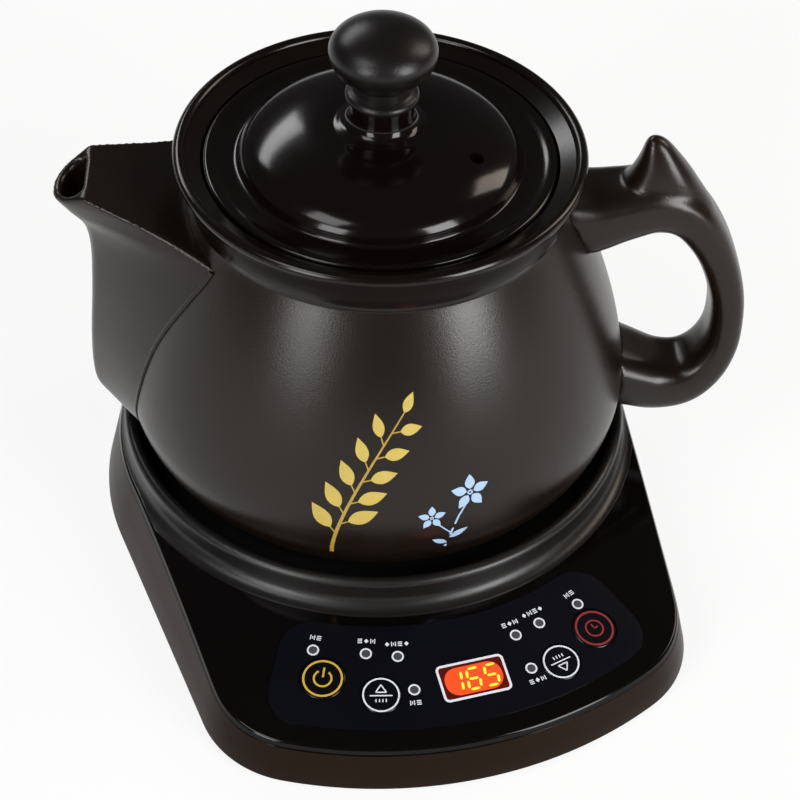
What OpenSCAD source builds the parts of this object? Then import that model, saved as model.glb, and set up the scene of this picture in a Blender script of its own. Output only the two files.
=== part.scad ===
// Electric herbal medicine pot: a ceramic pot with a lift-off lid on its own heating base.
// Millimetres. +Z is up, the table is at z = 0, the control panel faces -Y.
// The pot's axis is the axis of the guard ring and of the heating plate.

/* [Pot] */
// Largest radius of the belly
belly_r = 94; // [90:1:97]
// Height of the widest point above the foot
belly_h = 30; // [27:1:33]
// Half height of the round lower belly
belly_drop = 55; // [52:1:62]
// How bluntly the upper belly turns in to the neck
belly_bend = 1.57; // [1.4:0.01:1.9]
// Radius of the crease under the collar
neck_r = 67; // [65:1:70]
// Height of that crease above the foot
neck_h = 111; // [106:1:118]
// Height of the flared collar
collar_h = 19; // [17:1:24]
// How far the rim flares out past the crease
collar_flare = 5.5; // [4:0.5:8]
// Thickness of the ceramic wall
pot_wall = 5.5; // [4.5:0.5:6.5]
// Thickness of the pot's bottom
pot_floor = 7; // [6:0.5:9]
// Radius of the flat foot
foot_r = 72; // [68:1:75]
// Depth of the dimple that the sensor stands in
dimple_h = 3.2; // [2.6:0.2:3.6]
// Depth of the lid's seat below the rim
seat_drop = 9; // [7:0.5:11]
// Width of the lid's seat
seat_w = 6; // [4:0.5:7]
// Turn of the pot on its base, in degrees
pot_turn = -13; // [-20:1:20]

/* [Spout] */
// How far the lip stands out from that front edge
lip_out = 13; // [10:1:18]
// How far the front edge below the lip stands out from the belly
keel_out = 11; // [8:1:16]
// Height of the spout's flat top above the foot
spout_top_h = 118; // [114:1:122]
// Half width of the mouth
mouth_half_w = 14; // [12:1:16]
// Half width of the spout where its roof meets the neck
spout_root_w = 40; // [36:1:44]
// Fall of the spout's roof toward the neck, in degrees
roof_fall = 15; // [8:1:18]
// Thickness of the spout's wall
spout_wall = 4.5; // [4:0.5:5.5]
// Radius of a strainer hole
strainer_r = 3; // [2:0.25:3.5]

/* [Handle] */
// Reach of the grip's centre line from the axis
grip_reach = 131.5; // [126:0.5:138]
// Half thickness of the grip
grip_t = 6.5; // [6:0.5:9]
// Half width of the grip
grip_w = 10.5; // [9:0.5:13]
// Height of the grip's upper arm above the foot
arm_h = 106; // [102:1:108]
// Rise of the thumb rest's tip above that arm
thumb_rise = 27; // [18:1:32]

/* [Lid] */
// Radius of the lid's flange
lid_r = 62; // [60.5:0.5:62.5]
// Thickness of the flange
lid_t = 4.5; // [4:0.5:6]
// Radius of the dome
dome_r = 49.5; // [46:0.5:52]
// Height of the dome above the flange
dome_h = 14; // [11:0.5:18]
// Height of the pedestal under the knob
pedestal_h = 10; // [8:0.5:14]
// Radius of the pedestal's waist
pedestal_r = 11.2; // [10:0.2:12.5]
// Radius of the knob
knob_r = 18.5; // [16:0.5:20]
// Height of the knob's head
knob_h = 21; // [18:0.5:24]
// Radius of the steam hole
steam_r = 2.6; // [2:0.1:3.5]
// Distance of the steam hole from the axis
steam_reach = 36; // [32:1:40]

/* [Base] */
// Height of the rubber feet below the bottom cover
foot_gap = 2.5; // [2:0.5:4]
// Outer radius of the round back of the top cover
back_r = 99; // [98:1:102]
// Distance of the front corners' centre arc from the axis
front_arc = 117.5; // [114:1:124]
// Half angle of the front arc, in degrees
front_span = 26; // [24:1:29]
// Rounding of the front corners, at the top
corner_r = 33; // [28:1:38]
// How far the skirt spreads from top to bottom
skirt_flare = 7; // [4:0.5:9]
// Height of the top cover where it meets the ring
deck_z = 30; // [29:0.5:34]
// Fall of the top cover away from the ring, in degrees
deck_fall = 10.4; // [8:0.2:11]
// Thickness of the housing walls
case_t = 2.4; // [2:0.1:3]

/* [Guard ring] */
// Outer radius of the guard ring
ring_r = 97; // [96:0.5:98.5]
// Height of the ring's crest above the deck
ring_h = 11.5; // [10:0.5:12]
// Thickness of the ring's crest
ring_t = 5; // [4:0.5:6]
// Radius of the cove at the ring's foot
cove_r = 5; // [3:0.5:6]

/* [Heater] */
// Radius of the heating plate
plate_r = 70; // [66:1:71]
// Thickness of the heating plate
plate_t = 7.5; // [7:0.5:8]
// Radius of the heating tube's ring
tube_ring_r = 46; // [40:1:50]
// Radius of the heating tube
tube_r = 3.5; // [3:0.25:4]
// Radius of the sensor's cap
sensor_r = 11; // [9:0.5:12]
// Travel of the sensor when the pot presses it down
sensor_travel = 3; // [2:0.25:3.25]
// Turns of the sensor's spring
spring_turns = 5; // [3:1:7]

/* [Panel] */
// Gap between the ring's foot and the panel film
film_margin = 4; // [3:0.5:6]
// Length of the panel film, out from the ring
film_l = 40; // [38:0.5:41]
// Half angle of the panel film, in degrees
film_span = 31; // [30:0.5:32]
// Thickness of the panel film
film_t = 0.5; // [0.3:0.1:0.8]
// Radius of the large keys
key_r = 8; // [7:0.25:8.5]
// Radius of the arrow keys
arrow_key_r = 7.1; // [6:0.25:7.5]
// Travel of a key
key_travel = 0.5; // [0.3:0.1:0.6]
// Width of the display window
window_w = 23.5; // [20:0.5:26]
// Height of the display window
window_h = 13; // [11:0.5:14]
// Offset of the display window from the middle, toward +X
window_x = 3; // [-3:0.5:4]

/* [Clearances] */
// Gap round a moving key and the moving sensor
slide_gap = 0.35; // [0.3:0.05:0.5]
// Gap between fixed pieces that are dropped in
fit_gap = 0.3; // [0.2:0.05:0.5]
// Gap between the sensor's cap and the pot above it
touch_gap = 0.3; // [0.25:0.05:0.5]

/* [Hidden] */
$fn = 96;
round_fn = 144;
eps = 0.01;
big = 400;
quarter = 90;

// ---- heights of the base, from the table up
floor_z = foot_gap;
floor_top_z = floor_z + case_t;
deck_slope = tan(deck_fall);
function deck_at(r) = deck_z - deck_slope * max(0, r - ring_r);
plate_top_z = deck_z + 3;
plate_z = plate_top_z - plate_t;
ring_floor_t = 2.6;
ring_floor_z = deck_z - ring_floor_t;
shield_t = 0.8;
shield_z = plate_z - 2 * tube_r - 1.7;
crest_z = deck_z + ring_h;
film_in_r = ring_r + cove_r + film_margin;
film_out_r = film_in_r + film_l;

// ---- heights of the pot and lid
rest_gap = 0.02;
pot_z = plate_top_z + rest_gap;
keel_reach = belly_r + keel_out;
spout_reach = keel_reach + lip_out;
rim_h = neck_h + collar_h;
rim_r = neck_r + collar_flare;
lip_r = 2.2;
seat_h = rim_h - seat_drop;
bore_r = lid_r - seat_w + 2;
seat_r = lid_r + 2 * fit_gap;
lid_z = pot_z + seat_h;

// ---- place of the pot's axis: the middle of the whole object is at the origin
reach_left = spout_reach * cos(pot_turn);
reach_right = (grip_reach + grip_t) * cos(pot_turn);
reach_front = front_arc + corner_r + skirt_flare;
reach_back = back_r + skirt_flare;
axis_x = (reach_left - reach_right) / 2;
axis_y = (reach_front - reach_back) / 2;

module at_axis() { translate([axis_x, axis_y, 0]) children(); }
module turned() { at_axis() rotate([0, 0, pot_turn]) children(); }

// ---- small helpers
function arc(c, r, a0, a1, n) =
    [for (i = [0 : n]) let (a = a0 + (a1 - a0) * i / n) c + r * [cos(a), sin(a)]];

// A closed skin over rings of points that all have the same count, end caps included.
module skin(rings) {
    n = len(rings[0]);
    m = len(rings);
    pts = [for (ring = rings) for (p = ring) p];
    caps = [[for (i = [0 : n - 1]) i], [for (i = [0 : n - 1]) m * n - 1 - i]];
    sides = [for (k = [0 : m - 2]) for (i = [0 : n - 1])
        let (j = (i + 1) % n, a = k * n + i, b = k * n + j)
        each [[a, b + n, b], [a, a + n, b + n]]];
    polyhedron(pts, concat(caps, sides));
}

// Value of a smooth curve through rows of numbers at place t, by Catmull-Rom.
function row(rows, i) = rows[max(0, min(len(rows) - 1, i))];
function smooth(rows, t) =
    let (i = floor(t), u = t - i,
         a = row(rows, i - 1), b = row(rows, i), c = row(rows, i + 1), d = row(rows, i + 2))
    0.5 * (2 * b + (c - a) * u + (2 * a - 5 * b + 4 * c - d) * u * u + (3 * b - a - 3 * c + d) * u * u * u);

// ================= pot =================

function belly_at(h) = h < belly_h
    ? belly_r * sqrt(1 - pow((h - belly_h) / belly_drop, 2))
    : belly_r - (belly_r - neck_r) * pow((h - belly_h) / (neck_h - belly_h), belly_bend);

foot_lift = 3;
belly_steps = 26;
lip_c = [rim_r - lip_r, rim_h - lip_r];
lip_bead = 0.8;
outer_line = concat(
    [[foot_r, 0], [foot_r + 4, 0.8]],
    [for (i = [0 : belly_steps])
        let (h = foot_lift + (neck_h - foot_lift) * i / belly_steps)
        [belly_at(h), h]],
    [[rim_r - lip_bead, rim_h - 2 * lip_r - lip_bead]],
    arc(lip_c, lip_r, -30, 90, 6));
inner_foot_h = pot_floor + 9;
inner_neck_h = neck_h - 12;
inner_line = concat(
    arc(lip_c, lip_r, 120, 180, 3),
    [[seat_r, seat_h + 1.5], [seat_r, seat_h], [bore_r, seat_h], [bore_r, neck_h + 1]],
    [for (i = [0 : belly_steps])
        let (h = inner_neck_h + (inner_foot_h - inner_neck_h) * i / belly_steps) [belly_at(h) - pot_wall, h]],
    [[belly_at(pot_floor) - pot_wall - 4, pot_floor + 3], [foot_r - 2, pot_floor]]);

module pot_outside(gap) {
    line = [for (p = outer_line) [p[0] + gap, p[1]]];
    translate([0, 0, pot_z]) rotate_extrude($fn = round_fn) polygon(concat([[0, 0]], line, [[0, rim_h]]));
}

strainer_rows = [-1, 0, 1];
strainer_pitch = 3 * strainer_r;
strainer_h = 82;
dimple_r = sensor_r + 4;

module pot_body() {
    color([0.09, 0.08, 0.075]) turned() difference() {
        translate([0, 0, pot_z]) rotate_extrude($fn = round_fn)
            polygon(concat([[0, 0]], outer_line, inner_line, [[0, pot_floor]]));
        translate([0, 0, pot_z - eps]) cylinder(r = dimple_r, h = dimple_h + eps);
        for (i = strainer_rows) for (k = strainer_rows)
            translate([0, i * strainer_pitch, pot_z + strainer_h + k * strainer_pitch])
                rotate([0, -90, 0]) cylinder(r = strainer_r, h = belly_r, $fn = 24);
    }
}

// ---- spout: level wedges from the keel to the belly, stacked into a beak
nose_points = 10;
root_sink = 1.5;
// rows: height above the foot, reach of the front edge, nose radius, half width at the root
spout_rows = [
    [13, keel_reach - 5, 9, 0.65 * spout_root_w],
    [19, keel_reach + 1, 10, 0.75 * spout_root_w],
    [27, keel_reach + 2.5, 10, 0.83 * spout_root_w],
    [43, keel_reach + 2, 9, 0.92 * spout_root_w],
    [66, keel_reach, 8, 0.95 * spout_root_w],
    [86, keel_reach - 1, 8.5, 1.03 * spout_root_w],
    [spout_top_h - 20, keel_reach + 1, 10, 1.05 * spout_root_w],
    [spout_top_h - 12, keel_reach + 7, 11.5, 1.03 * spout_root_w],
    [spout_top_h - 5, spout_reach - 1, 12.5, spout_root_w],
    [spout_top_h, spout_reach + 1, 13, spout_root_w]];
spout_steps = 2;
// Reach of the place just inside the belly, at height h, that lies w off the spout's middle.
function root_at(h, w) = sqrt(pow(belly_at(min(h, neck_h)) - root_sink, 2) - w * w);
function wedge(row, in) =
    let (root = root_at(row[0], row[3]), cx = row[2] - row[1],
         side = atan2(row[3] - row[2], -root - cx), r = row[2] - in, w = row[3] - in / cos(side),
         lean = atan2(w - r, -root - cx))
    [for (p = concat([[-root, w]],
            arc([cx, 0], r, quarter + lean, 3 * quarter - lean, nose_points), [[-root, -w]]))
        [p[0], p[1], pot_z + row[0]]];
mouth_fall = 30;
mouth_back = keel_reach - 2;
mouth_lip = 2.6;
mouth_depth = 9;
channel_h = 46;

module spout_form(rows, in) {
    last = (len(rows) - 1) * spout_steps;
    skin([for (i = [0 : last]) wedge(smooth(rows, i / spout_steps), in)]);
}
module mouth_plane() {
    translate([-mouth_back, 0, pot_z + spout_top_h]) rotate([0, -mouth_fall, 0]) children();
}
// Everything above the spout's roof, lowered by d.
module above_roof(d) {
    translate([-mouth_back, 0, pot_z + spout_top_h]) rotate([0, roof_fall, 0])
        translate([-big / 2, -big / 2, -d]) cube(big);
}
channel_top = spout_top_h - spout_wall;
channel_rows = concat(
    [for (row = spout_rows) if (row[0] > channel_h && row[0] < channel_top - 3) row],
    [[channel_top, spout_reach - 1, 12.5, spout_root_w]]);

// The resize changes no size. It keeps the beak and its joint to the belly one faceted form.
module pot_spout() {
    color([0.09, 0.08, 0.075]) turned() resize([0, 0, 0]) difference() {
        spout_form(spout_rows, 0);
        pot_outside(eps * 2);
        mouth_plane() translate([-2 * spout_reach, -spout_reach, 0]) cube(2 * spout_reach);
        above_roof(0);
        difference() {
            spout_form(channel_rows, spout_wall);
            above_roof(spout_wall);
        }
        mouth_plane() translate([0, 0, -mouth_depth]) linear_extrude(2 * mouth_depth) mouth_shape();
    }
}
module mouth_shape() {
    corner = 3;
    throat_r = mouth_half_w - mouth_lip - 1;
    narrow = 0.8;
    tip = (spout_reach - corner - mouth_back) / cos(mouth_fall);
    hull() {
        for (s = [-1, 1])
            translate([-mouth_lip - corner / 2, s * (throat_r - corner)]) circle(r = corner, $fn = 24);
        translate([mouth_lip + narrow * throat_r - tip, 0]) scale([narrow, 1]) circle(r = throat_r, $fn = 40);
    }
}

// ---- handle: an ear of oval sections with a pointed thumb rest
// rows: reach, height above the foot, half thickness, half width
handle_rows = [
    [61, arm_h - 6, grip_t + 8.5, grip_w + 6.5],
    [75, arm_h - 5.5, grip_t + 6, grip_w + 5],
    [87, arm_h - 2.5, grip_t + 4, grip_w + 3.5],
    [grip_reach - 31.5, arm_h, grip_t + 3, grip_w + 2],
    [grip_reach - 21, arm_h - 4.5, grip_t + 2, grip_w + 1],
    [grip_reach - 13, arm_h - 14, grip_t + 1, grip_w + 0.5],
    [grip_reach - 6.5, arm_h - 26.5, grip_t + 0.3, grip_w],
    [grip_reach - 1.5, arm_h - 42, grip_t, grip_w],
    [grip_reach, arm_h - 56, grip_t, grip_w + 0.5],
    [grip_reach - 1, arm_h - 67.5, grip_t + 0.5, grip_w + 1],
    [grip_reach - 5.5, 28, grip_t + 1.5, grip_w + 2],
    [grip_reach - 13.5, 21, grip_t + 3, grip_w + 3],
    [grip_reach - 24.5, 20, grip_t + 4, grip_w + 4],
    [grip_reach - 36.5, 24, grip_t + 5, grip_w + 5.5],
    [81, 28, grip_t + 8.5, grip_w + 7.5]];
// rows: height above the foot, reach, half length, half width of the thumb rest
thumb_rows = [
    [arm_h - 3, 102, 15, grip_w - 0.5],
    [arm_h + 0.26 * thumb_rise, 101, 12.5, grip_w - 1.5],
    [arm_h + 0.56 * thumb_rise, 99, 9, grip_w - 3],
    [arm_h + 0.81 * thumb_rise, 96.8, 5, grip_w - 5.5],
    [arm_h + 0.96 * thumb_rise, 95.5, 2.2, grip_w - 8],
    [arm_h + thumb_rise, 95.2, 0.8, 0.9]];
oval_points = 24;
handle_steps = 3;
handle_last = (len(handle_rows) - 1) * handle_steps;
function handle_point(i) = smooth(handle_rows, i / handle_steps);
function handle_oval(i) =
    let (p = handle_point(i), a = handle_point(max(0, i - 0.5)), b = handle_point(min(handle_last, i + 0.5)),
         d = [b[0] - a[0], b[1] - a[1]], n = [-d[1], d[0]] / norm(d))
    [for (k = [0 : oval_points - 1]) let (q = 360 * k / oval_points)
        [p[0] + n[0] * p[2] * cos(q), -p[3] * sin(q), pot_z + p[1] + n[1] * p[2] * cos(q)]];
function thumb_oval(row) =
    [for (k = [0 : oval_points - 1]) let (q = 360 * k / oval_points)
        [row[1] + row[2] * cos(q), row[3] * sin(q), pot_z + row[0]]];

module pot_handle() {
    color([0.09, 0.08, 0.075]) turned() difference() {
        union() {
            skin([for (i = [0 : handle_last]) handle_oval(i)]);
            skin([for (i = [0 : 2 * (len(thumb_rows) - 1)]) thumb_oval(smooth(thumb_rows, i / 2))]);
        }
        pot_outside(0);
    }
}

// ================= lid =================

flange_top = lid_t;
dome_top = flange_top + dome_h;
waist_top = dome_top + pedestal_h;
dome_wall = 4;
locate_r = bore_r - 2;
locate_h = 8;
screw_r = 2;
steam_turn = -27;
dome_curve = [for (i = [0 : 12]) let (a = 90 * i / 12)
    [pedestal_r + 4.8 + (dome_r - pedestal_r - 4.8) * cos(a), flange_top + 0.5 + (dome_h - 1) * sin(a)]];
ceiling_h = 0.98 * (dome_top - dome_wall);
dome_inside = [for (i = [0 : 12]) let (a = 90 * (12 - i) / 12)
    [(dome_r - dome_wall) * cos(a), ceiling_h * sin(a)]];
washer_t = 1.2;
washer_r = 7;

module lid_dome() {
    color([0.07, 0.055, 0.05]) turned() translate([0, 0, lid_z]) difference() {
        rotate_extrude($fn = round_fn) polygon(concat(
            [[dome_r - dome_wall, -locate_h], [locate_r - 1, -locate_h]],
            [[locate_r, -locate_h + 1.5], [locate_r, 0]],
            [[lid_r - 1, 0], [lid_r, 1], [lid_r, flange_top], [lid_r - 1.2, flange_top + 0.9],
             [lid_r - 5, flange_top - 0.6], [dome_r + 1, flange_top - 0.4]],
            dome_curve,
            [[pedestal_r + 3.2, dome_top], [pedestal_r + 1, dome_top + 2], [pedestal_r, dome_top + 5],
             [pedestal_r, waist_top], [0, waist_top]],
            dome_inside));
        cylinder(r = screw_r + fit_gap, h = waist_top + 1);
        cylinder(r = washer_r + 0.5, h = ceiling_h);
        rotate([0, 0, steam_turn]) translate([steam_reach, 0, 0])
            cylinder(r = steam_r, h = dome_top, $fn = 32);
    }
}

bead_h = 3.6;
neck_in = 0.9;
knob_neck_h = 5;
knob_z = lid_z + waist_top;
knob_total = bead_h + knob_neck_h + knob_h;
screw_depth = bead_h + knob_neck_h + 6;

module lid_knob() {
    head_c = bead_h + knob_neck_h + 0.52 * knob_h;
    color([0.05, 0.048, 0.045]) turned() translate([0, 0, knob_z]) difference() {
        rotate_extrude($fn = round_fn) polygon(concat(
            [[0, 0], [pedestal_r, 0]],
            arc([pedestal_r - 0.2, bead_h / 2], bead_h / 2, -75, 75, 8),
            [[pedestal_r - neck_in, bead_h + 0.6], [pedestal_r - neck_in, bead_h + knob_neck_h - 1]],
            [for (a = [-50 : 10 : 90]) [knob_r * cos(a), head_c + (a < 0 ? 0.62 : 0.48) * knob_h * sin(a)]]));
        translate([0, 0, -eps]) cylinder(r = screw_r, h = screw_depth);
    }
}

module knob_washer() {
    color([0.75, 0.75, 0.72]) turned() translate([0, 0, lid_z + ceiling_h - washer_t]) difference() {
        cylinder(r = washer_r, h = washer_t);
        translate([0, 0, -1]) cylinder(r = screw_r + fit_gap, h = washer_t + 2);
    }
}
module knob_screw() {
    head_z = ceiling_h - washer_t;
    head_h = 2.4;
    color([0.72, 0.72, 0.74]) turned() translate([0, 0, lid_z + head_z - head_h]) {
        difference() {
            cylinder(r = 2 * screw_r, h = head_h);
            translate([-screw_r, -0.5, -eps]) cube([2 * screw_r, 1, 1]);
        }
        translate([0, 0, head_h]) cylinder(r = screw_r, h = waist_top - head_z + screw_depth - 1);
    }
}

// ================= base housing =================

// Plan of the base: a round back and a bowed front, grown by g all round.
module plan(g) {
    hull() {
        circle(r = back_r + g, $fn = 96);
        for (a = [-front_span : front_span / 4 : front_span])
            rotate(a) translate([0, -front_arc]) circle(r = corner_r + g, $fn = 48);
    }
}
// The solid under the top cover's surface, lowered by d.
module under_deck(d) {
    rotate_extrude($fn = round_fn)
        polygon([[0, -1], [big, -1], [big, deck_at(big) - d], [ring_r, deck_z - d], [0, deck_z - d]]);
}
// The flared block that the housing is cut from, shrunk by g all round.
module block(g) {
    hull() {
        translate([0, 0, floor_z]) linear_extrude(eps) plan(skirt_flare - g);
        translate([0, 0, deck_z + 2]) linear_extrude(eps) plan(-g);
    }
}

spigot_r = ring_r - 2;
spigot_t = 3;
deck_hole_r = spigot_r + fit_gap;
inlet_w = 27;
inlet_depth = 16;
inlet_h = 19;
inlet_z = floor_top_z + inlet_h / 2 + 1.6;
inlet_y = back_r - 4;
inlet_flange = 3;

module inlet_cut(gap) {
    w = inlet_w + 2 * inlet_flange + 2 * gap;
    h = inlet_h + 2 * gap;
    translate([-w / 2, inlet_y - 30, inlet_z - h / 2]) cube([w, 60, h]);
}

module housing_skirt() {
    color([0.11, 0.085, 0.07]) at_axis() difference() {
        block(0);
        translate([0, 0, -eps]) block(case_t);
        difference() {
            translate([-big / 2, -big / 2, 0]) cube([big, big, 2 * deck_z]);
            under_deck(case_t);
        }
        translate([-big / 2, -big / 2, -1]) cube([big, big, floor_z + 1 + 2 * eps]);
        inlet_cut(fit_gap);
    }
}

function polar(r, a) = [r * sin(a), -r * cos(a)];
// places: distance from the axis and angle from -Y
key_reach = film_out_r - 17.5;
arrow_reach = film_out_r - 12.5;
lamp_reach = film_in_r + 12;
lone_reach = film_out_r - 14;
power_key = [key_reach - 1, -22.5];
timer_key = [key_reach + 1, 23.5];
up_key = [arrow_reach - 1, -13.3];
down_key = [arrow_reach + 1, 15.3];
lamp_spots = [
    [lamp_reach - 0.7, -25], [lamp_reach - 1.2, -15.8], [lamp_reach, -10.3], [lone_reach - 0.8, -8.2],
    [lamp_reach + 0.8, 10.9], [lamp_reach, 15.9], [lamp_reach + 0.7, 24.2], [lone_reach + 0.6, 10.5]];
lamp_r = 1.4;
window_reach = film_out_r - 16;

// Puts its children on the deck at polar place p, standing square to its slope.
module on_deck(p) {
    rotate([0, 0, p[1]]) translate([0, -p[0], deck_at(p[0])]) rotate([deck_fall, 0, 0]) children();
}
module window_place() { on_deck([norm([window_x, window_reach]), atan2(window_x, window_reach)]) children(); }
module key_holes(gap, down, up) {
    on_deck(power_key) translate([0, 0, -down]) cylinder(r = key_r + gap, h = down + up);
    on_deck(timer_key) translate([0, 0, -down]) cylinder(r = key_r + gap, h = down + up);
    on_deck(up_key) translate([0, 0, -down]) cylinder(r = arrow_key_r + gap, h = down + up);
    on_deck(down_key) translate([0, 0, -down]) cylinder(r = arrow_key_r + gap, h = down + up);
    for (p = lamp_spots) on_deck(p) translate([0, 0, -down]) cylinder(r = lamp_r, h = down + up, $fn = 24);
    window_place() translate([-window_w / 2 - gap / 2, -window_h / 2 - gap / 2, -down])
        cube([window_w + gap, window_h + gap, down + up]);
}

module top_cover() {
    color([0.03, 0.03, 0.032]) at_axis() {
        difference() {
            intersection() {
                under_deck(0);
                block(0);
            }
            under_deck(case_t);
            cylinder(r = deck_hole_r, h = big, $fn = round_fn);
            key_holes(slide_gap, 2 * case_t, case_t);
        }
        for (p = case_spots) if (is_front(p)) difference() {
            intersection() {
                translate([p[0], p[1], boss_low]) cylinder(r = boss_r, h = deck_z);
                under_deck(case_t / 2);
            }
            translate([p[0], p[1], boss_low - 1]) cylinder(r = pilot_r, h = 9, $fn = 32);
        }
    }
}

film_corner = 12;
// Outline of the film, drawn in by g all round.
module film_shape(g) {
    in_r = film_in_r + film_corner;
    out_r = film_out_r - film_corner;
    side = film_span - asin(film_corner / in_r);
    difference() {
        hull() for (a = [-side : side / 6 : side + eps]) rotate(a) {
            translate([0, -out_r]) circle(r = film_corner - g, $fn = 48);
            translate([0, -in_r]) circle(r = film_corner - g, $fn = 48);
        }
        circle(r = film_in_r + g, $fn = round_fn);
    }
}
module panel_film() {
    color([0.035, 0.04, 0.055]) at_axis() difference() {
        intersection() {
            under_deck(-film_t);
            linear_extrude(2 * deck_z) film_shape(0);
        }
        under_deck(0);
        key_holes(slide_gap, case_t, case_t);
    }
}

// ---- keys: a cap in the film, a collar under the cover and a stem down to its switch
stem_r = 3;
stem_end = 5;
key_collar_t = 1;
board_drop = 12;
board_t = 1.6;
board_inset = 4;
switch_w = 6;
switch_h = 3.3;
plunger_r = 1.7;
board_screw_r = 1;
board_spots = [[film_in_r + 9, -19], [film_in_r + 9, 19], [film_out_r - 5, 0]];

// Stands its children on the control board, under polar place p.
module on_board(p) {
    q = polar(p[0], p[1]);
    translate([q[0], q[1], deck_at(-q[1]) - board_drop]) rotate([deck_fall, 0, 0]) children();
}
// Room between the board and the deck at polar place p, square to the board.
function board_room(p) = (board_drop - deck_slope * (p[0] + polar(p[0], p[1])[1])) * cos(deck_fall);

module key(p, r, shade) {
    under = -case_t - fit_gap;
    color(shade) at_axis() on_deck(p) rotate_extrude() polygon([[0, -stem_end], [stem_r, -stem_end],
        [stem_r, under - key_collar_t], [r + 1, under - key_collar_t], [r + 1, under], [r, under],
        [r, film_t - 0.2], [r - 0.3, film_t], [0, film_t]]);
}
module key_power() {
    key(power_key, key_r, [0.75, 0.6, 0.2]);
}
module key_timer() {
    key(timer_key, key_r, [0.6, 0.12, 0.1]);
}
module key_up() {
    key(up_key, arrow_key_r, [0.8, 0.8, 0.82]);
}
module key_down() {
    key(down_key, arrow_key_r, [0.8, 0.8, 0.82]);
}

module tact_switches() {
    color([0.2, 0.2, 0.22]) at_axis() for (p = [power_key, timer_key, up_key, down_key]) on_board(p) {
        translate([-switch_w / 2, -switch_w / 2, 0]) cube([switch_w, switch_w, switch_h]);
        cylinder(r = plunger_r, h = board_room(p) - stem_end - key_travel - touch_gap, $fn = 32);
    }
}

module board_plane(h) {
    translate([0, 0, deck_at(film_in_r) - board_drop]) translate([0, -film_in_r, 0])
        rotate([deck_fall, 0, 0]) translate([-big / 2, -big / 2, h]) children();
}
module control_board() {
    color([0.1, 0.35, 0.18]) at_axis() difference() {
        intersection() {
            board_plane(-board_t) cube([big, big, board_t]);
            linear_extrude(2 * deck_z) film_shape(board_inset);
        }
        for (p = board_spots) on_board(p) translate([0, 0, -2 * board_t])
            cylinder(r = board_screw_r + 0.2, h = 3 * board_t, $fn = 24);
    }
}
module board_screws() {
    head = 1.2;
    color([0.6, 0.6, 0.62]) at_axis() {
        for (p = board_spots) on_board(p) {
            cylinder(r = 2 * board_screw_r, h = head, $fn = 32);
            translate([0, 0, -board_t - 3]) cylinder(r = board_screw_r, h = board_t + 3, $fn = 24);
        }
        for (p = power_spots) translate([p[0], p[1], power_z + board_t]) {
            cylinder(r = 2 * board_screw_r, h = head, $fn = 32);
            translate([0, 0, -board_t - 3]) cylinder(r = board_screw_r, h = board_t + 3, $fn = 24);
        }
    }
}

module display_module() {
    place = [norm([window_x, window_reach]), atan2(window_x, window_reach)];
    color([0.12, 0.12, 0.13]) at_axis() window_place()
        translate([-window_w / 2 + 0.5, -window_h / 2 + 0.5, 0.1 - board_room(place)])
            cube([window_w - 1, window_h - 1, board_room(place) - 0.1 - case_t / 2]);
}
module display_window() {
    color([0.25, 0.05, 0.03]) at_axis() window_place()
        translate([-window_w / 2, -window_h / 2, -case_t / 2])
            cube([window_w, window_h, case_t / 2 + film_t]);
}
module indicator_lamps() {
    color([0.85, 0.85, 0.8]) at_axis() for (p = lamp_spots) on_deck(p)
        translate([0, 0, 0.15 - board_room(p)])
            cylinder(r = lamp_r, h = board_room(p) - 0.15 + film_t, $fn = 24);
}

case_spots = [[-74, -88], [74, -88], [-74, 42], [74, 42]];
function is_front(p) = p[1] < 0;
boss_r = 4;
boss_low = floor_top_z + 8;
pilot_r = 1.3;
spigot_drop = 1.6;
module guard_ring() {
    top_c = [ring_r - ring_t / 2, crest_z - ring_t / 2];
    inner_r = plate_r + seal_w;
    bottom = ring_floor_z - spigot_drop;
    color([0.075, 0.07, 0.068]) at_axis() difference() {
        union() {
            intersection() {
                rotate_extrude($fn = round_fn) polygon(concat(
                    [[ring_r + cove_r, deck_at(ring_r + cove_r)]],
                    arc([ring_r + cove_r, deck_z + cove_r], cove_r, 270, 180, 8),
                    arc(top_c, ring_t / 2, 0, 180, 14),
                    [[ring_r - ring_t - 3, deck_z + 3], [ring_r - ring_t - 7, deck_z + 0.6]],
                    [[inner_r, deck_z], [inner_r, ring_floor_z]],
                    [[spigot_r - spigot_t, ring_floor_z], [spigot_r - spigot_t, bottom],
                     [spigot_r, bottom], [spigot_r, deck_z], [ring_r, deck_z]]));
                linear_extrude(2 * crest_z) plan(0);
            }
            for (p = case_spots) if (!is_front(p)) translate([p[0], p[1], boss_low])
                cylinder(r = boss_r, h = ring_floor_z - boss_low);
        }
        for (p = case_spots) if (!is_front(p)) translate([p[0], p[1], boss_low - 1])
            cylinder(r = pilot_r, h = 13, $fn = 32);
    }
}

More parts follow.
